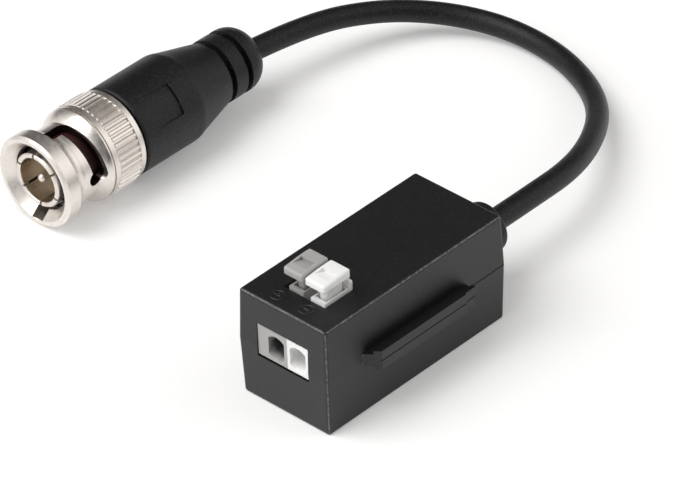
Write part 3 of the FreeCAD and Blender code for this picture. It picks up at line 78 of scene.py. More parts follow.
def towards(azimuth, elevation):
    """The direction at an angle from the front, positive to the right, and at a height."""
    return Vector((math.sin(azimuth) * math.cos(elevation),
                   -math.cos(azimuth) * math.cos(elevation),
                   math.sin(elevation)))


away = towards(AZIMUTH, ELEVATION)
level_right = Vector((math.cos(AZIMUTH), math.sin(AZIMUTH), 0))
level_up = away.cross(level_right)
right = level_right * math.cos(ROLL) + level_up * math.sin(ROLL)
up = level_up * math.cos(ROLL) - level_right * math.sin(ROLL)

camera_data = bpy.data.cameras.new("camera")
camera_data.lens = FOCAL_LENGTH_MM
camera_data.clip_start = 0.05
camera = bpy.data.objects.new("camera", camera_data)
camera.matrix_world = (Matrix.Translation(CAMERA_TARGET + away * CAMERA_DISTANCE)
                       @ Matrix((right, up, away)).transposed().to_4x4())
bpy.context.collection.objects.link(camera)
bpy.context.scene.camera = camera
bpy.context.scene.view_settings.view_transform = "Standard"
print("camera at", [round(c, 3) for c in camera.matrix_world.translation])

# %% [markdown]
# ## Shared helpers
# A few pieces here are small meshes that are made in code. Three short functions keep the
# cells that follow readable: one puts a mesh into the scene, one builds a mesh from a bmesh
# recipe, and one gives a piece its body and its finish.

# %% Mesh helpers
def add_object(name, mesh):
    """Puts a mesh into the scene at the origin: its place is in its vertices."""
    thing = bpy.data.objects.new(name, mesh)
    bpy.context.collection.objects.link(thing)
    return thing


def mesh_from(name, build):
    """Runs a bmesh recipe and returns the mesh, with its faces turned outwards."""
    bm = bmesh.new()
    build(bm)
    bmesh.ops.recalc_face_normals(bm, faces=bm.faces)
    mesh = bpy.data.meshes.new(name)
    bm.to_mesh(mesh)
    bm.free()
    return mesh


def belongs(piece, body, material):
    """Gives a piece its body and its finish."""
    piece.data.materials.clear()
    piece.data.materials.append(material)
    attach(piece, body)


# %% [markdown]
# ## The lead's line
# The lead is a length of thin coaxial cable, stiff enough to hold a wide loop. It could be a swept tube of
# arcs, but the eye sees where one arc ends and the next starts. A curve that passes near a few given
# points looks like bent cable, because its curvature changes slowly. A NURBS curve of order three does
# this: the points pull on it, and it never kinks.

# %% Lead curve
CABLE_DIAMETER = 3.4 * MM
GLAND_EXIT = Vector((0.0, 23.8, 8.8)) * MM
GRIP_JOINT = Vector((-56.485, 34.921, 7.285)) * MM
CABLE_ROUTE = [
    (0.0, 32.7, 8.8),
    (-1.1, 41.9, 7.7),
    (-4.8, 50.7, 5.8),
    (-10.7, 59.4, 3.7),
    (-18.2, 65.5, 2.2),
    (-27.4, 69.1, 1.75),
    (-37.2, 69.1, 2.1),
    (-45.5, 65.0, 3.2),
    (-51.6, 57.2, 5.1),
    (-55.2, 45.7, 7.1),
]


def nurbs_line(name, points):
    """An open NURBS curve of order three that starts and ends on its end points."""
    curve = bpy.data.curves.new(name, "CURVE")
    curve.dimensions = "3D"
    spline = curve.splines.new("NURBS")
    spline.points.add(len(points) - 1)
    for control, point in zip(spline.points, points):
        control.co = (*point, 1.0)
    spline.order_u = 3
    spline.use_endpoint_u = True
    spline.resolution_u = 12
    return curve


lead_points = [GLAND_EXIT] + [Vector(p) * MM for p in CABLE_ROUTE] + [GRIP_JOINT]
lead_curve = nurbs_line("cable_jacket", lead_points)
lead_curve.bevel_depth = CABLE_DIAMETER / 2
lead_curve.bevel_resolution = 12
lead_curve.use_fill_caps = True
lead = bpy.data.objects.new("cable_jacket", lead_curve)
bpy.context.collection.objects.link(lead)


def spline_length(curve):
    """Measures a curve's line by turning a copy without thickness into edges."""
    inner_colour = curve.copy()
    inner_colour.bevel_depth = 0
    inner_colour.use_fill_caps = False
    holder = bpy.data.objects.new("measure", inner_colour)
    bpy.context.collection.objects.link(holder)
    line = bpy.data.meshes.new_from_object(holder)
    ends = [[line.vertices[number].co for number in edge.vertices] for edge in line.edges]
    total = sum((end - start).length for start, end in ends)
    bpy.data.objects.remove(holder)
    bpy.data.curves.remove(inner_colour)
    bpy.data.meshes.remove(line)
    return total


LEAD_LENGTH = spline_length(lead_curve)
print("lead length in metres:", round(LEAD_LENGTH, 4))

# %% [markdown]
# ## Finishes: the mould's grain
# Moulded plastic is never quite even. A spark-eroded mould leaves a fine grain, and handling
# leaves the gloss a little uneven. A picture of grain would blur up close, and noise doesn't.
# The box, the levers, the grip and the lead all need it, so it is a node group with named
# inputs, built once and placed in each material with its own values.

# %% Node helpers
def new_group(name, inputs, outputs):
    """A shader node group. Inputs are (name, kind, default) and outputs are (name, kind)."""
    group = bpy.data.node_groups.new(name, "ShaderNodeTree")
    for label, kind, default in inputs:
        socket = group.interface.new_socket(label, in_out="INPUT", socket_type=kind)
        if default is not None:
            socket.default_value = default
    for label, kind in outputs:
        group.interface.new_socket(label, in_out="OUTPUT", socket_type=kind)
    return group, group.nodes.new("NodeGroupInput"), group.nodes.new("NodeGroupOutput")


def fill(tree, socket, value):
    """Gives a socket another node's output where there is one, and a plain value otherwise."""
    if isinstance(value, bpy.types.NodeSocket):
        tree.links.new(value, socket)
    else:
        socket.default_value = value


def math_node(tree, operation, *values):
    """One sum on numbers or on other nodes' outputs."""
    node = tree.nodes.new("ShaderNodeMath")
    node.operation = operation
    for socket, value in zip(node.inputs, values):
        fill(tree, socket, value)
    return node.outputs[0]


def noise(tree, vector, scale, detail):
    """Cloudy noise from 0 to 1: scale is how many clouds a metre holds."""
    node = tree.nodes.new("ShaderNodeTexNoise")
    node.inputs["Detail"].default_value = detail
    fill(tree, node.inputs["Scale"], scale)
    fill(tree, node.inputs["Vector"], vector)
    return node.outputs["Fac"]


def ramp(tree, value, low, high, to_low, to_high):
    """Stretches the range from low to high onto another one, and holds its ends."""
    node = tree.nodes.new("ShaderNodeMapRange")
    fill(tree, node.inputs["Value"], value)
    for label, number in (("From Min", low), ("From Max", high), ("To Min", to_low), ("To Max", to_high)):
        fill(tree, node.inputs[label], number)
    return node.outputs["Result"]


def parts_of(tree, vector):
    """A vector's X, Y and Z, as the outputs of one node."""
    node = tree.nodes.new("ShaderNodeSeparateXYZ")
    tree.links.new(vector, node.inputs[0])
    return node.outputs


# %% Moulded grain
DRIFT_SCALE = 90.0
SPARKLE = 0.12


def build_moulded_grain():
    """Fine bumps from a spark-eroded mould, and gloss that drifts over the surface."""
    tree, inside, outside = new_group(
        "moulded_grain",
        [("Vector", "NodeSocketVector", None), ("Grain Size", "NodeSocketFloat", 0.3 * MM),
         ("Base Roughness", "NodeSocketFloat", 0.5), ("Gloss Drift", "NodeSocketFloat", 0.06)],
        [("Height", "NodeSocketFloat"), ("Roughness", "NodeSocketFloat"), ("Shade", "NodeSocketFloat")])
    vector = inside.outputs["Vector"]
    fine_scale = math_node(tree, "DIVIDE", 1.0, inside.outputs["Grain Size"])
    fine = noise(tree, vector, fine_scale, 3.0)
    coarse = noise(tree, vector, DRIFT_SCALE, 3.0)
    drift = math_node(tree, "MULTIPLY", inside.outputs["Gloss Drift"],
                      math_node(tree, "SUBTRACT", coarse, 0.5))
    sparkle = math_node(tree, "MULTIPLY", math_node(tree, "SUBTRACT", fine, 0.5), SPARKLE)
    rough = math_node(tree, "ADD", inside.outputs["Base Roughness"],
                      math_node(tree, "ADD", drift, sparkle))
    tree.links.new(fine, outside.inputs["Height"])
    tree.links.new(rough, outside.inputs["Roughness"])
    tree.links.new(coarse, outside.inputs["Shade"])
    return tree


MOULDED_GRAIN = build_moulded_grain()
print("group:", MOULDED_GRAIN.name)

# %% [markdown]
# ## Painted highlight on the edges
# The box's rounded edges catch the light in a thin broken line, and that highlight is painted into their
# colour. Painting it would need a map of every edge. On a box it is enough to ask which way the surface
# faces: where two parts of its normal are equally long, it faces halfway between two sides, and that is an
# edge. The joining rail has sloping faces that would take the painted highlight all over, so the line
# stays on the box.

# %% Painted edge highlight
HALFWAY = 0.49
HIGHLIGHT_SPECK_SCALE = 2600.0


def build_painted_edge_highlight():
    """A painted highlight: a broken pale line along rounded edges, where the surface faces halfway between
    two sides.
    """
    tree, inside, outside = new_group(
        "painted_edge_highlight",
        [("Vector", "NodeSocketVector", None), ("Normal", "NodeSocketVector", None),
         ("Narrowness", "NodeSocketFloat", 0.4), ("Half Width", "NodeSocketFloat", 0.01)],
        [("Mask", "NodeSocketFloat")])
    sides = [math_node(tree, "ABSOLUTE", part) for part in parts_of(tree, inside.outputs["Normal"])]
    pairs = [math_node(tree, "MULTIPLY", sides[a], sides[b]) for a, b in ((0, 1), (1, 2), (0, 2))]
    halfway = math_node(tree, "MAXIMUM", pairs[0], math_node(tree, "MAXIMUM", pairs[1], pairs[2]))
    line = ramp(tree, halfway, inside.outputs["Narrowness"], HALFWAY, 0.0, 1.0)
    specks = ramp(tree, noise(tree, inside.outputs["Vector"], HIGHLIGHT_SPECK_SCALE, 2.0), 0.4, 0.62, 0.25, 1.0)
    across = math_node(tree, "ABSOLUTE", parts_of(tree, inside.outputs["Vector"])["X"])
    on_box = math_node(tree, "LESS_THAN", across, inside.outputs["Half Width"])
    mask = math_node(tree, "MULTIPLY", on_box, math_node(tree, "MULTIPLY", line, specks))
    tree.links.new(mask, outside.inputs["Mask"])
    return tree


PAINTED_EDGE_HIGHLIGHT = build_painted_edge_highlight()
print("group:", PAINTED_EDGE_HIGHLIGHT.name)

# %% [markdown]
# ## Finishes: what every material starts from
# Each finish is one Principled shader with a few nodes before it. The same few steps come
# back again and again: start the material, place a group in it, mix two colours, add a bump.

# %% Material helpers
def place_group(tree, group, values):
    """Puts a group in a material with its own values, and returns the node's outputs."""
    node = tree.nodes.new("ShaderNodeGroup")
    node.node_tree = group
    for label, value in values.items():
        fill(tree, node.inputs[label], value)
    return node.outputs


def start_material(name):
    """A material with a bare Principled shader. Returns it, its tree, shader and coordinates."""
    material = bpy.data.materials.new(name)
    material.use_nodes = True
    tree = material.node_tree
    shader = tree.nodes["Principled BSDF"]
    coordinates = tree.nodes.new("ShaderNodeTexCoord").outputs
    return material, tree, shader, coordinates


def colour_between(tree, factor, dark, light):
    """Mixes two colours, either of which may come from another node."""
    node = tree.nodes.new("ShaderNodeMix")
    node.data_type = "RGBA"
    fill(tree, node.inputs[0], factor)
    # The node keeps its numbers and vectors in the sockets before its colours
    for socket, colour in ((node.inputs[6], dark), (node.inputs[7], light)):
        fill(tree, socket, colour if isinstance(colour, bpy.types.NodeSocket) else (*colour, 1))
    return node.outputs[2]


def add_bump(tree, shader, height, distance):
    """Bends the shader's normals as if the surface rose by distance where height is 1."""
    bump = tree.nodes.new("ShaderNodeBump")
    bump.inputs["Distance"].default_value = distance
    tree.links.new(height, bump.inputs["Height"])
    tree.links.new(bump.outputs["Normal"], shader.inputs["Normal"])


# %% [markdown]
# ## Finishes: plastics
# The box is black ABS with a satin spark-eroded grain. The levers and the terminal's body
# are a smoother engineering plastic, one grey and one near white, that lets a little light in.
# All use the same groups and differ only in grain size, gloss and colour, so one function
# makes them all. Real black plastic is darker than it looks: most of what the eye sees on it
# is the room, reflected.

# %% Plastics
HIGHLIGHT_HALF_WIDTH = 8.35 * MM  # just past the box's side walls, short of the rail
LIGHT_REACH = 0.6 * MM


def plastic(name, dark, light, grain_size, roughness, drift, depth, specular=0.5, specks=None,
            edge_highlight_colour=None, glow=0.0):
    """A moulded plastic. Specks is the colour of its grain's tips, the edge colour is a painted highlight
    along its rounded edges, and glow is how much light spreads inside it."""
    material, tree, shader, coordinates = start_material(name)
    grain = place_group(tree, MOULDED_GRAIN, {
        "Vector": coordinates["Object"], "Grain Size": grain_size, "Base Roughness": roughness,
        "Gloss Drift": drift})
    colour = colour_between(tree, ramp(tree, grain["Shade"], 0.3, 0.7, 0.0, 1.0), dark, light)
    if specks:
        tips = ramp(tree, grain["Height"], 0.56, 0.74, 0.0, 1.0)
        colour = colour_between(tree, tips, colour, specks)
    # Painted highlight: a pale colour mixed in along the rounded edges
    if edge_highlight_colour:
        edge_highlight = place_group(tree, PAINTED_EDGE_HIGHLIGHT, {
            "Vector": coordinates["Object"], "Normal": coordinates["Normal"],
            "Half Width": HIGHLIGHT_HALF_WIDTH})
        colour = colour_between(tree, edge_highlight["Mask"], colour, edge_highlight_colour)
    tree.links.new(colour, shader.inputs["Base Color"])
    tree.links.new(grain["Roughness"], shader.inputs["Roughness"])
    shader.inputs["Specular IOR Level"].default_value = specular
    shader.inputs["Subsurface Weight"].default_value = glow
    shader.inputs["Subsurface Radius"].default_value = (1.0, 1.0, 1.0)
    shader.inputs["Subsurface Scale"].default_value = LIGHT_REACH
    add_bump(tree, shader, grain["Height"], depth)
    return material


FINISH = {
    # The shell's pale edge colour is a painted highlight along its rounded edges
    "shell_black": plastic(
        "satin_black_abs", (0.0028, 0.0028, 0.0032), (0.0042, 0.0042, 0.0047),
        grain_size=0.2 * MM, roughness=0.42, drift=0.05, depth=0.06 * MM,
        specks=(0.022, 0.022, 0.023), edge_highlight_colour=(0.16, 0.16, 0.16)),
    "soft_black": plastic(
        "satin_black_pvc", (0.0032, 0.0032, 0.0037), (0.0047, 0.0047, 0.0053),
        grain_size=0.24 * MM, roughness=0.4, drift=0.06, depth=0.09 * MM,
        specular=0.31, specks=(0.04, 0.04, 0.042)),
    "terminal_grey": plastic(
        "grey_nylon", (0.37, 0.365, 0.36), (0.41, 0.405, 0.40),
        grain_size=0.2 * MM, roughness=0.42, drift=0.05, depth=0.01 * MM, glow=0.3),
    "terminal_white": plastic(
        "white_nylon", (0.86, 0.86, 0.855), (0.90, 0.90, 0.895),
        grain_size=0.2 * MM, roughness=0.4, drift=0.05, depth=0.01 * MM, glow=0.5),
    "header_black": plastic(
        "black_phenolic", (0.012, 0.012, 0.012), (0.02, 0.02, 0.02),
        grain_size=0.2 * MM, roughness=0.5, drift=0.05, depth=0.01 * MM),
    "insulator_white": plastic(
        "white_ptfe", (0.78, 0.78, 0.76), (0.86, 0.86, 0.84),
        grain_size=0.5 * MM, roughness=0.35, drift=0.05, depth=0.003 * MM),
    "gasket_red": plastic(
        "dark_red_silicone", (0.022, 0.0035, 0.003), (0.035, 0.005, 0.004),
        grain_size=0.3 * MM, roughness=0.5, drift=0.08, depth=0.006 * MM),
    "capacitor_sleeve": plastic(
        "blue_shrink_sleeve", (0.01, 0.014, 0.05), (0.014, 0.02, 0.07),
        grain_size=0.6 * MM, roughness=0.25, drift=0.05, depth=0.003 * MM),
    "board_green": plastic(
        "green_solder_mask", (0.008, 0.07, 0.025), (0.012, 0.10, 0.035),
        grain_size=0.5 * MM, roughness=0.3, drift=0.08, depth=0.004 * MM),
    "ferrite": plastic(
        "grey_ferrite", (0.045, 0.045, 0.048), (0.07, 0.07, 0.073),
        grain_size=0.2 * MM, roughness=0.6, drift=0.08, depth=0.02 * MM),
    "red_wire": plastic(
        "red_enamel", (0.22, 0.018, 0.01), (0.3, 0.03, 0.015),
        grain_size=0.6 * MM, roughness=0.22, drift=0.05, depth=0.002 * MM),
    "green_wire": plastic(
        "green_enamel", (0.015, 0.12, 0.03), (0.02, 0.16, 0.04),
        grain_size=0.6 * MM, roughness=0.22, drift=0.05, depth=0.002 * MM),
}
print("plastics:", len(FINISH))

# %% [markdown]
# ## Painted shade in the wire ports
# Each port is a funnel that swallows light: the deeper a point lies behind the nose, the less of the room
# it sees, and the grey one is nearly black inside. A second material on the port's faces would end in a
# hard line, so that shade is painted into the colour instead, darker the deeper it lies. It reads the
# piece's own coordinates, so it stays put when the view turns. The levers share these finishes, so the
# painted shade also stops just above the nose.

# %% Port depth
NOSE_FACE = -17.75 * MM
PORT_DEPTH = 1.15 * MM
FADE_TOP = 13.2 * MM
FADE_EDGE = 0.1 * MM


def paint_port_shade(material, deep):
    """Paints shade: mixes a darker colour in with the distance behind the nose's face, up to its top."""
    tree = material.node_tree
    shader = tree.nodes["Principled BSDF"]
    place = parts_of(tree, tree.nodes["Texture Coordinate"].outputs["Object"])
    depth = ramp(tree, place["Y"], NOSE_FACE, NOSE_FACE + PORT_DEPTH, 0.0, 1.0)
    below = ramp(tree, place["Z"], FADE_TOP, FADE_TOP + FADE_EDGE, 1.0, 0.0)
    outer = shader.inputs["Base Color"].links[0].from_socket
    faded = colour_between(tree, math_node(tree, "MULTIPLY", depth, below), outer, deep)
    tree.links.new(faded, shader.inputs["Base Color"])
    print("port depth in", material.name)


# Painted shade: near black in the grey port, light grey in the white one
paint_port_shade(FINISH["terminal_grey"], (0.012, 0.012, 0.013))
paint_port_shade(FINISH["terminal_white"], (0.62, 0.62, 0.62))

# %% [markdown]
# ## Finishes: plated metal
# The plug is turned brass with a bright nickel plate. Turning leaves rings round the axis,
# which plating softens, and plate over brass is a little cloudy. The pattern needs to know the
# plug's axis: a Mapping node turns the coordinates so that Z runs along the plug, and noise
# that reads only the distance from the axis and the place along it draws rings.

# %% Plated metal
PLUG_MOUTH = Vector((-57.25, -8.95, 7.35)) * MM
PLUG_TURN = math.radians(0.45)
PLUG_AXIS = Vector((math.sin(PLUG_TURN), math.cos(PLUG_TURN), 0))
TOOL_RING_SCALE = 9000.0
CLOUD_SCALE = 1400.0
BORE_EDGE = 0.05 * MM
MOUTH_EDGE = 0.1 * MM


def plated(name, colour, roughness, turned, inside=None):
    """Bright plate over turned metal: turned is how deep tool rings and pitting show. Inside names a
    radius, a distance from the mouth, and a colour painted within and behind them, which on the ring is
    painted shade."""
    material, tree, shader, coordinates = start_material(name)
    shader.inputs["Metallic"].default_value = 1.0
    along_plug = tree.nodes.new("ShaderNodeMapping")
    along_plug.vector_type = "TEXTURE"
    along_plug.inputs["Location"].default_value = PLUG_MOUTH
    along_plug.inputs["Rotation"].default_value = (math.radians(-90), 0, -PLUG_TURN)
    tree.links.new(coordinates["Object"], along_plug.inputs["Vector"])
    place = parts_of(tree, along_plug.outputs["Vector"])
    radial = math_node(tree, "SQRT", math_node(
        tree, "ADD", math_node(tree, "POWER", place["X"], 2.0), math_node(tree, "POWER", place["Y"], 2.0)))
    round_plug = tree.nodes.new("ShaderNodeCombineXYZ")
    tree.links.new(radial, round_plug.inputs["X"])
    tree.links.new(place["Z"], round_plug.inputs["Z"])
    rings = noise(tree, round_plug.outputs[0], TOOL_RING_SCALE, 2.0)
    cloud = noise(tree, coordinates["Object"], CLOUD_SCALE, 5.0)
    tone = ramp(tree, cloud, 0.3, 0.7, 0.0, 1.0)
    plate = colour_between(tree, tone, tuple(part * 0.9 for part in colour), colour)
    # Inside a radius and behind a depth another colour is painted: painted shade in the ring's bore and
    # slots, a warmer brown in the contact's mouth
    if inside:
        radius, behind, inner_colour = inside
        within = ramp(tree, radial, radius, radius + BORE_EDGE, 1.0, 0.0)
        deep = ramp(tree, place["Z"], behind, behind + MOUTH_EDGE, 0.0, 1.0)
        plate = colour_between(tree, math_node(tree, "MULTIPLY", within, deep), plate, inner_colour)
    tree.links.new(plate, shader.inputs["Base Color"])
    gloss = ramp(tree, cloud, 0.25, 0.75, roughness * 0.8, roughness * 1.25)
    tree.links.new(gloss, shader.inputs["Roughness"])
    add_bump(tree, shader, math_node(tree, "ADD", rings, cloud), turned)
    print("plated:", name)
    return material


FINISH["nickel"] = plated("satin_nickel", (0.82, 0.765, 0.71), 0.36, 0.005 * MM)
FINISH["spring_steel"] = plated("spring_steel", (0.56, 0.57, 0.58), 0.28, 0.001 * MM)
FINISH["tinned_brass"] = plated("tin_plate", (0.72, 0.72, 0.70), 0.3, 0.001 * MM)
# Near black in the bore and slots behind the mouth: painted shade
RING_PLATE = plated("ring_nickel", (0.83, 0.78, 0.735), 0.32, 0.005 * MM,
                    inside=(5.95 * MM, 2.45 * MM, (0.05, 0.03, 0.026)))
CONTACT_PLATE = plated("contact_nickel", (0.82, 0.765, 0.71), 0.31, 0.003 * MM,
                       inside=(3.6 * MM, 0.9 * MM, (0.6, 0.5, 0.38)))

# %% [markdown]
# ## Finishes on the solids
# Each solid of the frame names a slot in the record, and each slot has one finish here. The coupling ring
# and the sleeve inside it are plated outside, but the ring is painted near black in its bore and slots,
# which is painted shade, and the sleeve is painted a warmer brown inside its mouth, so they have finishes
# of their own.

# %% Dress the solids
OWN_FINISH = {"coupling_ring": RING_PLATE, "outer_contact": CONTACT_PLATE}
SLOT_OF = {part["node"]: part["material_slot"] for part in frame["record"]["subparts"]}
for node, thing in NODES.items():
    thing.data.materials.clear()
    thing.data.materials.append(OWN_FINISH.get(node, FINISH[SLOT_OF[node]]))
print("solids dressed:", len(NODES))

# %% [markdown]
# ## Springs
# Three pieces inside are springs: a bent leaf under each lever, and a wave washer inside the coupling
# ring. A press on a lever or a pull on the ring squeezes them. Here a copy of each stands for the solid,
# unchanged in shape, and the solid is hidden. The copy's loose triangles are merged first, so that it is
# one closed skin. The table also lists each spring's joint, the way it gives, the face it rests on and the
# share of its height left, but nothing here reads them.

# %% Springs
LEAF_FOOT = Vector((0, 0, 9.75)) * MM
WASHER_SEAT = PLUG_MOUTH + PLUG_AXIS * 10.3 * MM
SPRINGS = [
    ("leaf_spring_plus", "clamp_spring_plus", "lever_plus_press", UP, LEAF_FOOT, 0.57),
    ("leaf_spring_minus", "clamp_spring_minus", "lever_minus_press", UP, LEAF_FOOT, 0.57),
    ("wave_washer", "spring_washer", "ring_pull", PLUG_AXIS, WASHER_SEAT, 0.5),
]


def merged_copy(name, solid):
    """A copy of a solid whose triangles share their corners, smooth but for its edges."""
    def build(bm):
        bm.from_mesh(solid.data)
        bmesh.ops.remove_doubles(bm, verts=bm.verts, dist=0.001 * MM)

    mesh = mesh_from(name, build)
    mesh.shade_smooth()
    mesh.set_sharp_from_angle(angle=math.radians(30))
    return add_object(name, mesh)


for name, node, joint, along, seat, share_left in SPRINGS:
    spring = merged_copy(name, NODES[node])
    belongs(spring, "housing", FINISH["spring_steel"])
    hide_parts(node)
    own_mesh(spring)
    print(name, "faces:", len(spring.data.polygons))

# %% [markdown]
# ## The lead
# The curve that was drawn first becomes the lead's jacket. It stands for the plain tube in the frame,
# which is hidden.

# %% Lead
belongs(lead, "housing", FINISH["soft_black"])
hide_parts("cable")

# %% [markdown]
# ## Shapes that repeat
# A transformer's turns are all one loop, set round the core again and again. Modelling each
# by hand would be slow and uneven, and a plain array can't follow a ring. Geometry Nodes say
# it once: make one loop, set a copy at each step round the centre, and give them thickness.
# The tree's sizes are named inputs, so both wires and the moulded marks share the same nodes.

# %% Tree helpers
def start_shape_tree(name, inputs):
    """A Geometry Nodes tree with named inputs. Returns it, what it is given and its result."""
    tree = bpy.data.node_groups.new(name, "GeometryNodeTree")
    for label, kind in inputs:
        tree.interface.new_socket(label, in_out="INPUT", socket_type=kind)
    tree.interface.new_socket("Geometry", in_out="OUTPUT", socket_type="NodeSocketGeometry")
    given = tree.nodes.new("NodeGroupInput").outputs
    result = tree.nodes.new("NodeGroupOutput").inputs[0]
    return tree, given, result


def shape_node(tree, kind, settings=None, **values):
    """Adds a node and fills its inputs, by name, with numbers or with other nodes' outputs."""
    node = tree.nodes.new(kind)
    for label, setting in (settings or {}).items():
        setattr(node, label, setting)
    for label, value in values.items():
        fill(tree, node.inputs[label.replace("_", " ")], value)
    return node.outputs[0]


def turned_about_z(tree, step, first):
    """A rotation about Z for each point: its index times a step, from a first angle."""
    index = shape_node(tree, "GeometryNodeInputIndex")
    angle = math_node(tree, "ADD", math_node(tree, "MULTIPLY", index, step), first)
    return shape_node(tree, "ShaderNodeCombineXYZ", Z=angle)


def finish_wire(tree, wire, thickness, given, result):
    """Gives lines their thickness, their place and their finish, and ends the tree."""
    profile = shape_node(tree, "GeometryNodeCurvePrimitiveCircle", Resolution=10, Radius=thickness)
    solid = shape_node(tree, "GeometryNodeCurveToMesh", Curve=wire, Profile_Curve=profile, Fill_Caps=True)
    flat = shape_node(tree, "GeometryNodeTransform", Geometry=solid, Scale=given["Flatness"])
    placed = shape_node(tree, "GeometryNodeTransform", Geometry=flat, Translation=given["Centre"])
    smooth = shape_node(tree, "GeometryNodeSetShadeSmooth", Geometry=placed)
    real = shape_node(tree, "GeometryNodeRealizeInstances", Geometry=smooth)
    dressed = shape_node(tree, "GeometryNodeSetMaterial", Geometry=real, Material=given["Finish"])
    tree.links.new(dressed, result)


def grown(name, tree, values):
    """Runs a tree on an empty mesh and keeps what it makes as a plain mesh."""
    holder = add_object(name, bpy.data.meshes.new(name))
    modifier = holder.modifiers.new("shape", "NODES")
    modifier.node_group = tree
    for item in tree.interface.items_tree:
        if item.in_out == "INPUT":
            modifier[item.identifier] = values[item.name]
    made = holder.evaluated_get(bpy.context.evaluated_depsgraph_get())
    plain = bpy.data.meshes.new_from_object(made)
    holder.modifiers.remove(modifier)
    holder.data = plain
    print(name, "faces:", len(plain.polygons))
    return holder


# %% [markdown]
# ## The transformer's two wires
# Inside the box, two enamelled wires are wound side by side through a ferrite ring. The solid
# frame keeps them as square loops, which is enough to weigh them. Real wire is round and its
# turns are never quite even, so each turn gets a small turn of its own from a fixed seed.

# %% Wound turns
WIRE_INPUTS = [("Flatness", "NodeSocketVector"), ("Centre", "NodeSocketVector"),
               ("Finish", "NodeSocketMaterial")]


def build_wound_turns():
    """Rounded rectangular turns, set evenly round a ring core."""
    tree, given, result = start_shape_tree("wound_turns", [
        ("Turns", "NodeSocketInt"), ("First Angle", "NodeSocketFloat"),
        ("Inner Radius", "NodeSocketFloat"), ("Outer Radius", "NodeSocketFloat"),
        ("Height", "NodeSocketFloat"), ("Wire Radius", "NodeSocketFloat"),
        ("Unevenness", "NodeSocketFloat"), ("Seed", "NodeSocketInt")] + WIRE_INPUTS)
    width = math_node(tree, "SUBTRACT", given["Outer Radius"], given["Inner Radius"])
    loop = shape_node(tree, "GeometryNodeCurvePrimitiveQuadrilateral", Width=width, Height=given["Height"])
    loop = shape_node(tree, "GeometryNodeFilletCurve", {"mode": "POLY"}, Curve=loop, Count=4,
                      Radius=math_node(tree, "MULTIPLY", given["Wire Radius"], 1.5))
    both_radii = math_node(tree, "ADD", given["Outer Radius"], given["Inner Radius"])
    middle = math_node(tree, "MULTIPLY", both_radii, 0.5)
    loop = shape_node(tree, "GeometryNodeTransform", Geometry=loop, Rotation=(math.radians(90), 0, 0),
                      Translation=shape_node(tree, "ShaderNodeCombineXYZ", X=middle))
    places = shape_node(tree, "GeometryNodeMeshLine", Count=given["Turns"], Offset=(0, 0, 0))
    drift = tree.nodes.new("FunctionNodeRandomValue")
    # The node's third and fourth sockets are the limits of a random number
    tree.links.new(math_node(tree, "MULTIPLY", given["Unevenness"], -1.0), drift.inputs[2])
    tree.links.new(given["Unevenness"], drift.inputs[3])
    tree.links.new(given["Seed"], drift.inputs["Seed"])
    step = math_node(tree, "DIVIDE", math.tau, given["Turns"])
    first = math_node(tree, "ADD", given["First Angle"], drift.outputs[1])
    turns = shape_node(tree, "GeometryNodeInstanceOnPoints", Points=places, Instance=loop,
                       Rotation=turned_about_z(tree, step, first))
    turns = shape_node(tree, "GeometryNodeRealizeInstances", Geometry=turns)
    finish_wire(tree, turns, given["Wire Radius"], given, result)
    return tree


WOUND_TURNS = build_wound_turns()

# %% Wind the core
TURNS_EACH = 9
FIRST_SEED = 7
CORE_MIDDLE = (0.9 * MM, -1.6 * MM, 9.25 * MM)
for number, (node, slot) in enumerate((("winding_a", "red_wire"), ("winding_b", "green_wire"))):
    wire = grown("round_" + node, WOUND_TURNS, {
        "Turns": TURNS_EACH, "First Angle": number * math.pi / TURNS_EACH,
        "Inner Radius": 1.73 * MM, "Outer Radius": 3.87 * MM, "Height": 3.73 * MM,
        "Wire Radius": 0.16 * MM, "Unevenness": math.radians(1.5), "Seed": FIRST_SEED + number,
        "Flatness": (1, 1, 1), "Centre": CORE_MIDDLE, "Finish": FINISH[slot]})
    belongs(wire, "housing", FINISH[slot])
    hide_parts(node)

# %% [markdown]
# ## The pole marks
# The mould leaves a raised plus and a raised minus, each in a ring, on the roof in front of
# the levers. They stand up by little more than a tenth of a millimetre, so only their sides
# catch the light. A bump would vanish from the side, so they are thin round lines, half sunk
# in the roof. One bar makes the minus, and a second one at a quarter turn makes the plus.

# %% Pole marks
def build_pole_mark():
    """A ring round one or more crossed bars, as thin raised lines."""
    tree, given, result = start_shape_tree("pole_mark", [
        ("Ring Radius", "NodeSocketFloat"), ("Bar Length", "NodeSocketFloat"), ("Bars", "NodeSocketInt"),
        ("Stroke Radius", "NodeSocketFloat")] + WIRE_INPUTS)
    ring = shape_node(tree, "GeometryNodeCurvePrimitiveCircle", Resolution=48, Radius=given["Ring Radius"])
    half = math_node(tree, "MULTIPLY", given["Bar Length"], 0.5)
    start = shape_node(tree, "ShaderNodeCombineXYZ", X=math_node(tree, "MULTIPLY", half, -1.0))
    bar = shape_node(tree, "GeometryNodeCurvePrimitiveLine", Start=start,
                     End=shape_node(tree, "ShaderNodeCombineXYZ", X=half))
    places = shape_node(tree, "GeometryNodeMeshLine", Count=given["Bars"], Offset=(0, 0, 0))
    bars = shape_node(tree, "GeometryNodeInstanceOnPoints", Points=places, Instance=bar,
                      Rotation=turned_about_z(tree, math.radians(90), 0.0))
    join = tree.nodes.new("GeometryNodeJoinGeometry")
    tree.links.new(shape_node(tree, "GeometryNodeRealizeInstances", Geometry=bars), join.inputs[0])
    tree.links.new(ring, join.inputs[0])
    finish_wire(tree, join.outputs[0], given["Stroke Radius"], given, result)
    return tree


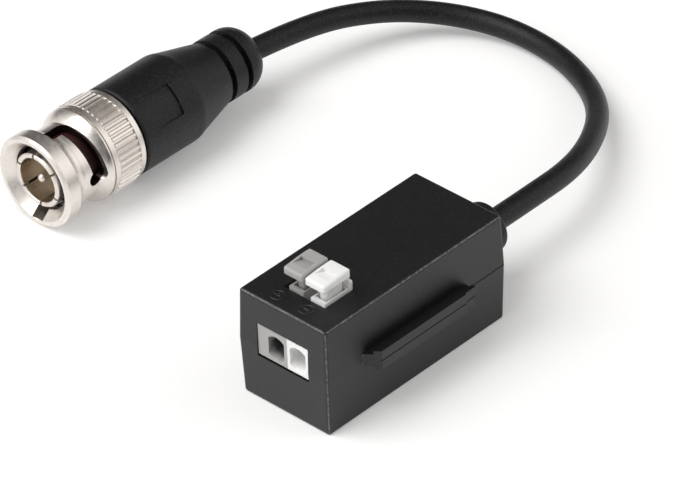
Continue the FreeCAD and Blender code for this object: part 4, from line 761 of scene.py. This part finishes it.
POLE_MARK = build_pole_mark()
ROOF = 17.5 * MM
MARKS = [("plus_mark", 2, -2.83, -15.55), ("minus_mark", 1, 2.4, -15.4)]
for name, bars, x, y in MARKS:
    # The shell finish also paints its edge highlight on the marks' sloping sides
    mark = grown(name, POLE_MARK, {
        "Ring Radius": 1.0 * MM, "Bar Length": 1.1 * MM, "Bars": bars, "Stroke Radius": 0.09 * MM,
        "Flatness": (1, 1, 1.2), "Centre": (x * MM, y * MM, ROOF), "Finish": FINISH["shell_black"]})
    belongs(mark, "housing", FINISH["shell_black"])

# %% [markdown]
# ## The floor
# The picture has a white background. More light would turn a pale floor white, and the object
# with it. So the floor is a pale matt sheet that glows a little where the camera, or a
# reflection, looks at it. It stays white and still takes the object's shadow, and the glow
# adds no light to matt surfaces, because the rays that light them don't see it.

# %% Floor
FLOOR_HALF_SIZE = 3.0
FLOOR_PAINT = (0.86, 0.86, 0.86)
FLOOR_LIFT = 0.2


def build_floor():
    """A pale sheet that reads as plain white to the eye and in reflections, shadows kept."""
    mesh = mesh_from("floor", lambda bm: bmesh.ops.create_grid(
        bm, x_segments=1, y_segments=1, size=FLOOR_HALF_SIZE))
    floor = add_object("floor", mesh)
    material = bpy.data.materials.new("pale_floor")
    material.use_nodes = True
    tree = material.node_tree
    tree.nodes.clear()
    out = tree.nodes.new("ShaderNodeOutputMaterial")
    matt = tree.nodes.new("ShaderNodeBsdfDiffuse")
    matt.inputs["Color"].default_value = (*FLOOR_PAINT, 1)
    glow = tree.nodes.new("ShaderNodeEmission")
    path = tree.nodes.new("ShaderNodeLightPath").outputs
    mirrored = math_node(tree, "MAXIMUM", path["Is Glossy Ray"], path["Is Transmission Ray"])
    seen = math_node(tree, "MAXIMUM", path["Is Camera Ray"], mirrored)
    tree.links.new(math_node(tree, "MULTIPLY", seen, FLOOR_LIFT), glow.inputs["Strength"])
    lifted = tree.nodes.new("ShaderNodeAddShader")
    tree.links.new(matt.outputs[0], lifted.inputs[0])
    tree.links.new(glow.outputs[0], lifted.inputs[1])
    tree.links.new(lifted.outputs[0], out.inputs[0])
    floor.data.materials.append(material)


build_floor()
print("floor lifted by", FLOOR_LIFT)

# %% [markdown]
# ## The room
# Black plastic and plated metal mostly show what they reflect, so the room around them is
# part of their finish. An evenly lit room makes both look flat. This one is dim, with a
# bright front, a pale ceiling and a patch of light behind on the right. The dim parts keep
# the box's top and the lead's middle deep, and the bright ones draw the edges of the plug.
# Each patch is full up to one angle from its middle and gone by another.

# %% World
ROOM_LEVEL = 0.12
ROOM_TINT = (1, 0.985, 0.965)
ROOM_PATCHES = [
    ("bright front", -20, 5, 30, 75, 1.25),
    ("pale ceiling", 0, 90, 12, 42, 0.55),
    ("back light", 138, 28, 14, 42, 1.3),
]


def build_world():
    """The room from its patches: name, azimuth, elevation, full to, gone by, level."""
    world = bpy.data.worlds.new("studio")
    bpy.context.scene.world = world
    world.use_nodes = True
    tree = world.node_tree
    tree.nodes.clear()
    out = tree.nodes.new("ShaderNodeOutputWorld")
    room = tree.nodes.new("ShaderNodeBackground")
    room.inputs["Color"].default_value = (*ROOM_TINT, 1)
    direction = tree.nodes.new("ShaderNodeTexCoord").outputs["Generated"]
    brightest = 0.0
    for name, azimuth, elevation, full, gone, level in ROOM_PATCHES:
        facing = tree.nodes.new("ShaderNodeVectorMath")
        facing.operation = "DOT_PRODUCT"
        facing.inputs[1].default_value = towards(math.radians(azimuth), math.radians(elevation))
        tree.links.new(direction, facing.inputs[0])
        added = ramp(tree, facing.outputs["Value"], math.cos(math.radians(gone)),
                     math.cos(math.radians(full)), 0.0, level - ROOM_LEVEL)
        brightest = math_node(tree, "MAXIMUM", added, brightest)
        print("room patch:", name, "level", level)
    tree.links.new(math_node(tree, "ADD", brightest, ROOM_LEVEL), room.inputs["Strength"])
    tree.links.new(room.outputs[0], out.inputs[0])


build_world()

# %% [markdown]
# ## The lamp
# One large soft lamp stands high on the front left, as a softbox would. Its size is what
# makes the shadow soft: a small lamp of the same power would draw a hard edge. It is told how
# bright its face is, which stays the same when its size changes, and the watts follow.

# %% Lamp
STAGE_MIDDLE = Vector((-20, 20, 0)) * MM


def soft_lamp(name, azimuth, elevation, distance, size, level):
    """A wide square lamp that faces the object; level is how bright its face is, white being 1."""
    direction = towards(math.radians(azimuth), math.radians(elevation))
    data = bpy.data.lights.new(name, "AREA")
    data.size = size
    data.energy = level * math.pi * size * size
    lamp = bpy.data.objects.new(name, data)
    lamp.location = STAGE_MIDDLE + direction * distance
    lamp.rotation_euler = direction.to_track_quat("Z", "Y").to_euler()
    bpy.context.collection.objects.link(lamp)
    print("lamp", name, "energy", round(data.energy, 2), "watts")


soft_lamp("key", -32, 60, distance=1.2, size=0.8, level=4.2)
